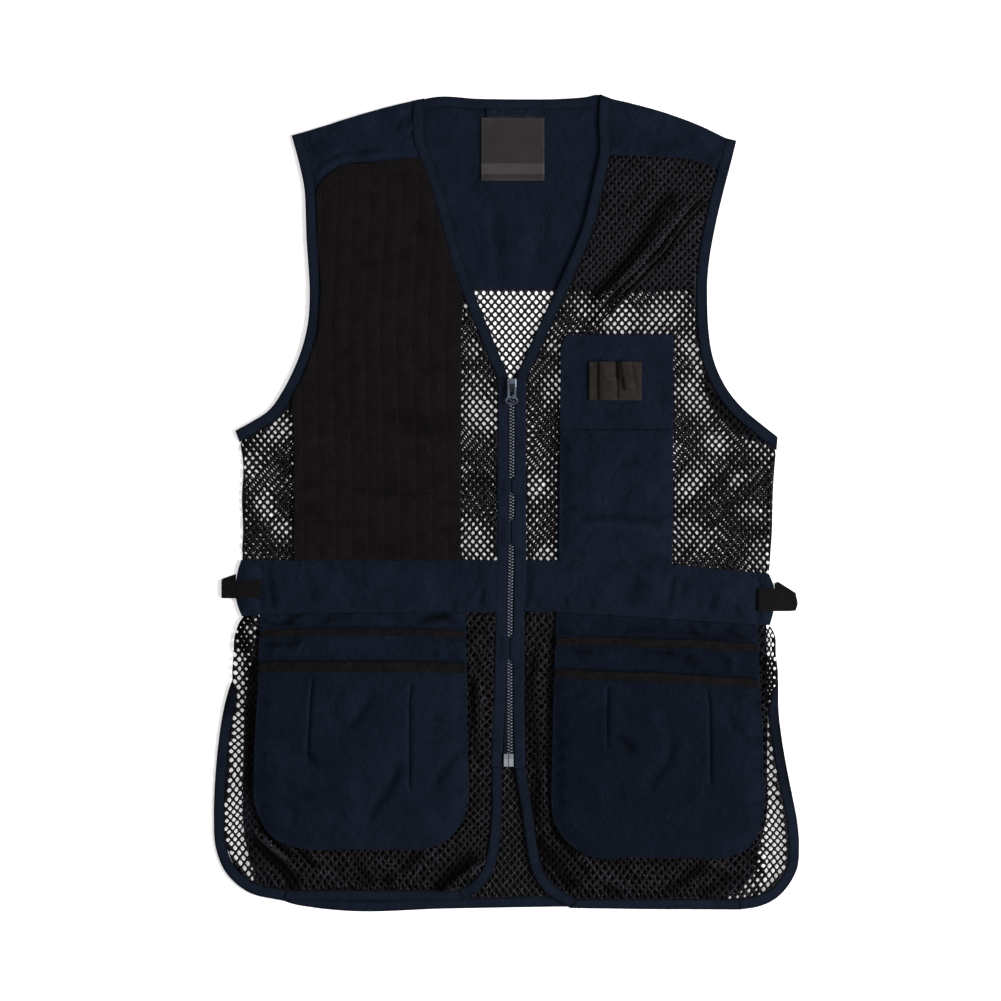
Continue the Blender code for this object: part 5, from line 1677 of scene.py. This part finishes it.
def build_front(side):
    """One front's yoke, nets, waistband and bound edges."""
    creased(f"shoulder_yoke_{side}", YOKE_CREASES[side], SOFT, puffed("yoke"))
    net(f"front_net_upper_{side}")
    net(f"front_net_lower_{side}")
    for name in ("waistband", "waist_side"):
        creased(f"{name}_{side}", WAIST_CREASES[side], SOFT, puffed("waist"))
    for name in ("armhole_binding", "neck_binding", "vent_binding", "hem_binding",
                 "front_edge_binding"):
        panel(f"{name}_{side}", "navy_binding", relief=BINDING_RELIEF, profile=BOUND,
              shade=summed(edge_shade, creases(VENT_SHADES[side], gain=1.0)))
    panel(f"placket_{side}", "navy_binding", pitch=STRIP_PITCH, reshape=lipped(side),
          relief=PLACKET_RELIEF)


def build_pockets(side):
    """One double shell pocket and its elastic mouths."""
    cloth = POCKET_FINISH[side]
    for node, table, free, pitch in (
            (f"pocket_backing_{side}", BACKING_CREASES[side], BACKING_FREE[side], PITCH),
            (f"pocket_inner_{side}", INNER_CREASES[side], INNER_FREE[side], HIDDEN_PITCH)):
        panel(node, cloth, pitch=pitch, profile=TOPSTITCHED,
              relief=pressed(summed(SOFT, creases(table, gain=LAYER_GAIN)), free),
              shade=crease_shade(node, table))
    creased(f"pocket_outer_{side}", OUTER_CREASES[side], SOFT, puffed("pocket"),
            tucks(TUCKS[side]), finish=cloth, guides=TUCKS[side])
    for layer in ("inner", "outer"):
        panel(f"pocket_trim_{layer}_{side}", "black_trim", pitch=STRIP_PITCH,
              relief=TRIM_RELIEF, reshape=bowed(layer))


def quilt_lines():
    """The paths of the patch's quilting lines."""
    y = np.arange(QUILT_FOOT, QUILT_TOP, QUILT_STEP)
    return [np.column_stack([QUILT_FIRST + line * QUILT_PITCH + quilt_shift(y), y])
            for line in range(QUILT_LINES)]


def build_rest():
    """The patch, the chest panel and pocket, the loops and the webbing."""
    creased("shooting_patch", PATCH_CREASES, PATCH_RELIEF, finish="suede_patch",
            profile=ROUNDED, guides=quilt_lines())
    creased("chest_panel", CHEST_PANEL_CREASES, pressed(SOFT))
    creased("chest_pocket", CHEST_POCKET_CREASES, SOFT, puffed("chest"))
    panel("elastic_loops", "brown_elastic", pitch=LOOP_PITCH, relief=arches,
          shade=creases(LOOP_SHADES, gain=1.0), reshape=loop_outline)
    for side in SIDES:
        panel(f"strap_over_{side}", "black_webbing", pitch=STRIP_PITCH)
        panel(f"strap_under_{side}", "black_webbing", pitch=STRIP_PITCH, level_under=True)


def build_zip():
    """The zip's tape and teeth, and the metal finish of its hard parts."""
    panel("zip_chain", "zip_tape", pitch=STRIP_PITCH, wall=TAPE_WALL)
    build_teeth()
    for node, finish in (("zip_box", "box_metal"), ("zip_slider", "zip_metal"),
                         ("zip_pull", "zip_metal")):
        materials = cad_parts[node].data.materials
        materials.clear()
        materials.append(FINISHES[finish])


def build_stitching():
    """The stitching of every seam that shows."""
    rows = [seam(node) for node in SURFACES if node.startswith(SEWN_ROUND)]
    rows += [seam(node, YOKE_HEM, start, end) for node, start, end in YOKE_SEAMS]
    rows += [straight(node, start, end) for node, start, end in STRAIGHT_SEAMS]
    for side, sign in (("left", -1), ("right", 1)):
        rows += [long_seam(f"{name}_{side}", (x * sign, y)) for name, x, y in LONG_SEAMS]
    rows += [long_seam(node, (0, 0)) for node in ("back_neck_binding", "back_hem_binding")]
    stitches("navy_stitching", "navy_thread", rows, "navy_binding")
    stitches("quilt_stitching", "quilt_thread",
             [on_surface("shooting_patch", path) for path in quilt_lines()], "suede_patch",
             length=QUILT_STITCH, gap=QUILT_GAP, width=QUILT_WIDTH)
    stitches("label_stitching", "label_thread",
             [seam("neck_label", LABEL_INSET), long_seam("hanger_tape", (0, 0))],
             "charcoal_label", length=LABEL_STITCH, gap=LABEL_GAP)
    stitches("loop_stitching", "navy_thread",
             [straight("elastic_loops", (LOOP_SEAM, 99), (LOOP_SEAM, 135), step=1.0)],
             "navy_binding")


def placed(name, data, place):
    """A new object of the stage."""
    item = bpy.data.objects.new(name, data)
    item.location = place
    bpy.context.scene.collection.objects.link(item)
    return item


def build_stage():
    """A pale floor, soft studio light and the camera, straight above."""
    bpy.ops.mesh.primitive_plane_add(size=FLOOR_SIZE, location=(0, 0, FLOOR_Z * MM))
    floor = bpy.context.object
    floor.name = "floor"
    item, shader = principled("floor", 0.9)
    shader.inputs["Base Color"].default_value = FLOOR_COLOUR
    shader.inputs["Emission Color"].default_value = WHITE
    shader.inputs["Emission Strength"].default_value = FLOOR_GLOW
    floor.data.materials.append(item)
    scene = bpy.context.scene
    scene.world = bpy.data.worlds.new("studio")
    scene.world.use_nodes = True
    sky = scene.world.node_tree.nodes["Background"]
    sky.inputs["Color"].default_value = WHITE
    sky.inputs["Strength"].default_value = SKY
    for name, place, size, power in LAMPS:
        lamp = bpy.data.lights.new(name, "AREA")
        lamp.size = size
        lamp.energy = power
        turn = Vector(place).to_track_quat("Z", "Y").to_euler()
        placed(name, lamp, place).rotation_euler = turn
    camera = bpy.data.cameras.new("camera")
    camera.lens = LENS
    camera.sensor_width = SENSOR
    height = FRAME_PIXELS * PIXEL * MM * LENS / SENSOR
    scene.camera = placed("camera", camera, (CENTRE_X * MM, CENTRE_Y * MM, height))
    scene.view_settings.view_transform = "Standard"


build_stage()
build_back()
for front in SIDES:
    build_front(front)
    build_pockets(front)
# Strips of painted shadow and painted highlight along the nets' folds
for edge_finish, edge_nets in PAINTED_FOLD_STRIPS.items():
    painted_fold_strips(edge_finish, edge_nets)
build_rest()
build_zip()
build_stitching()
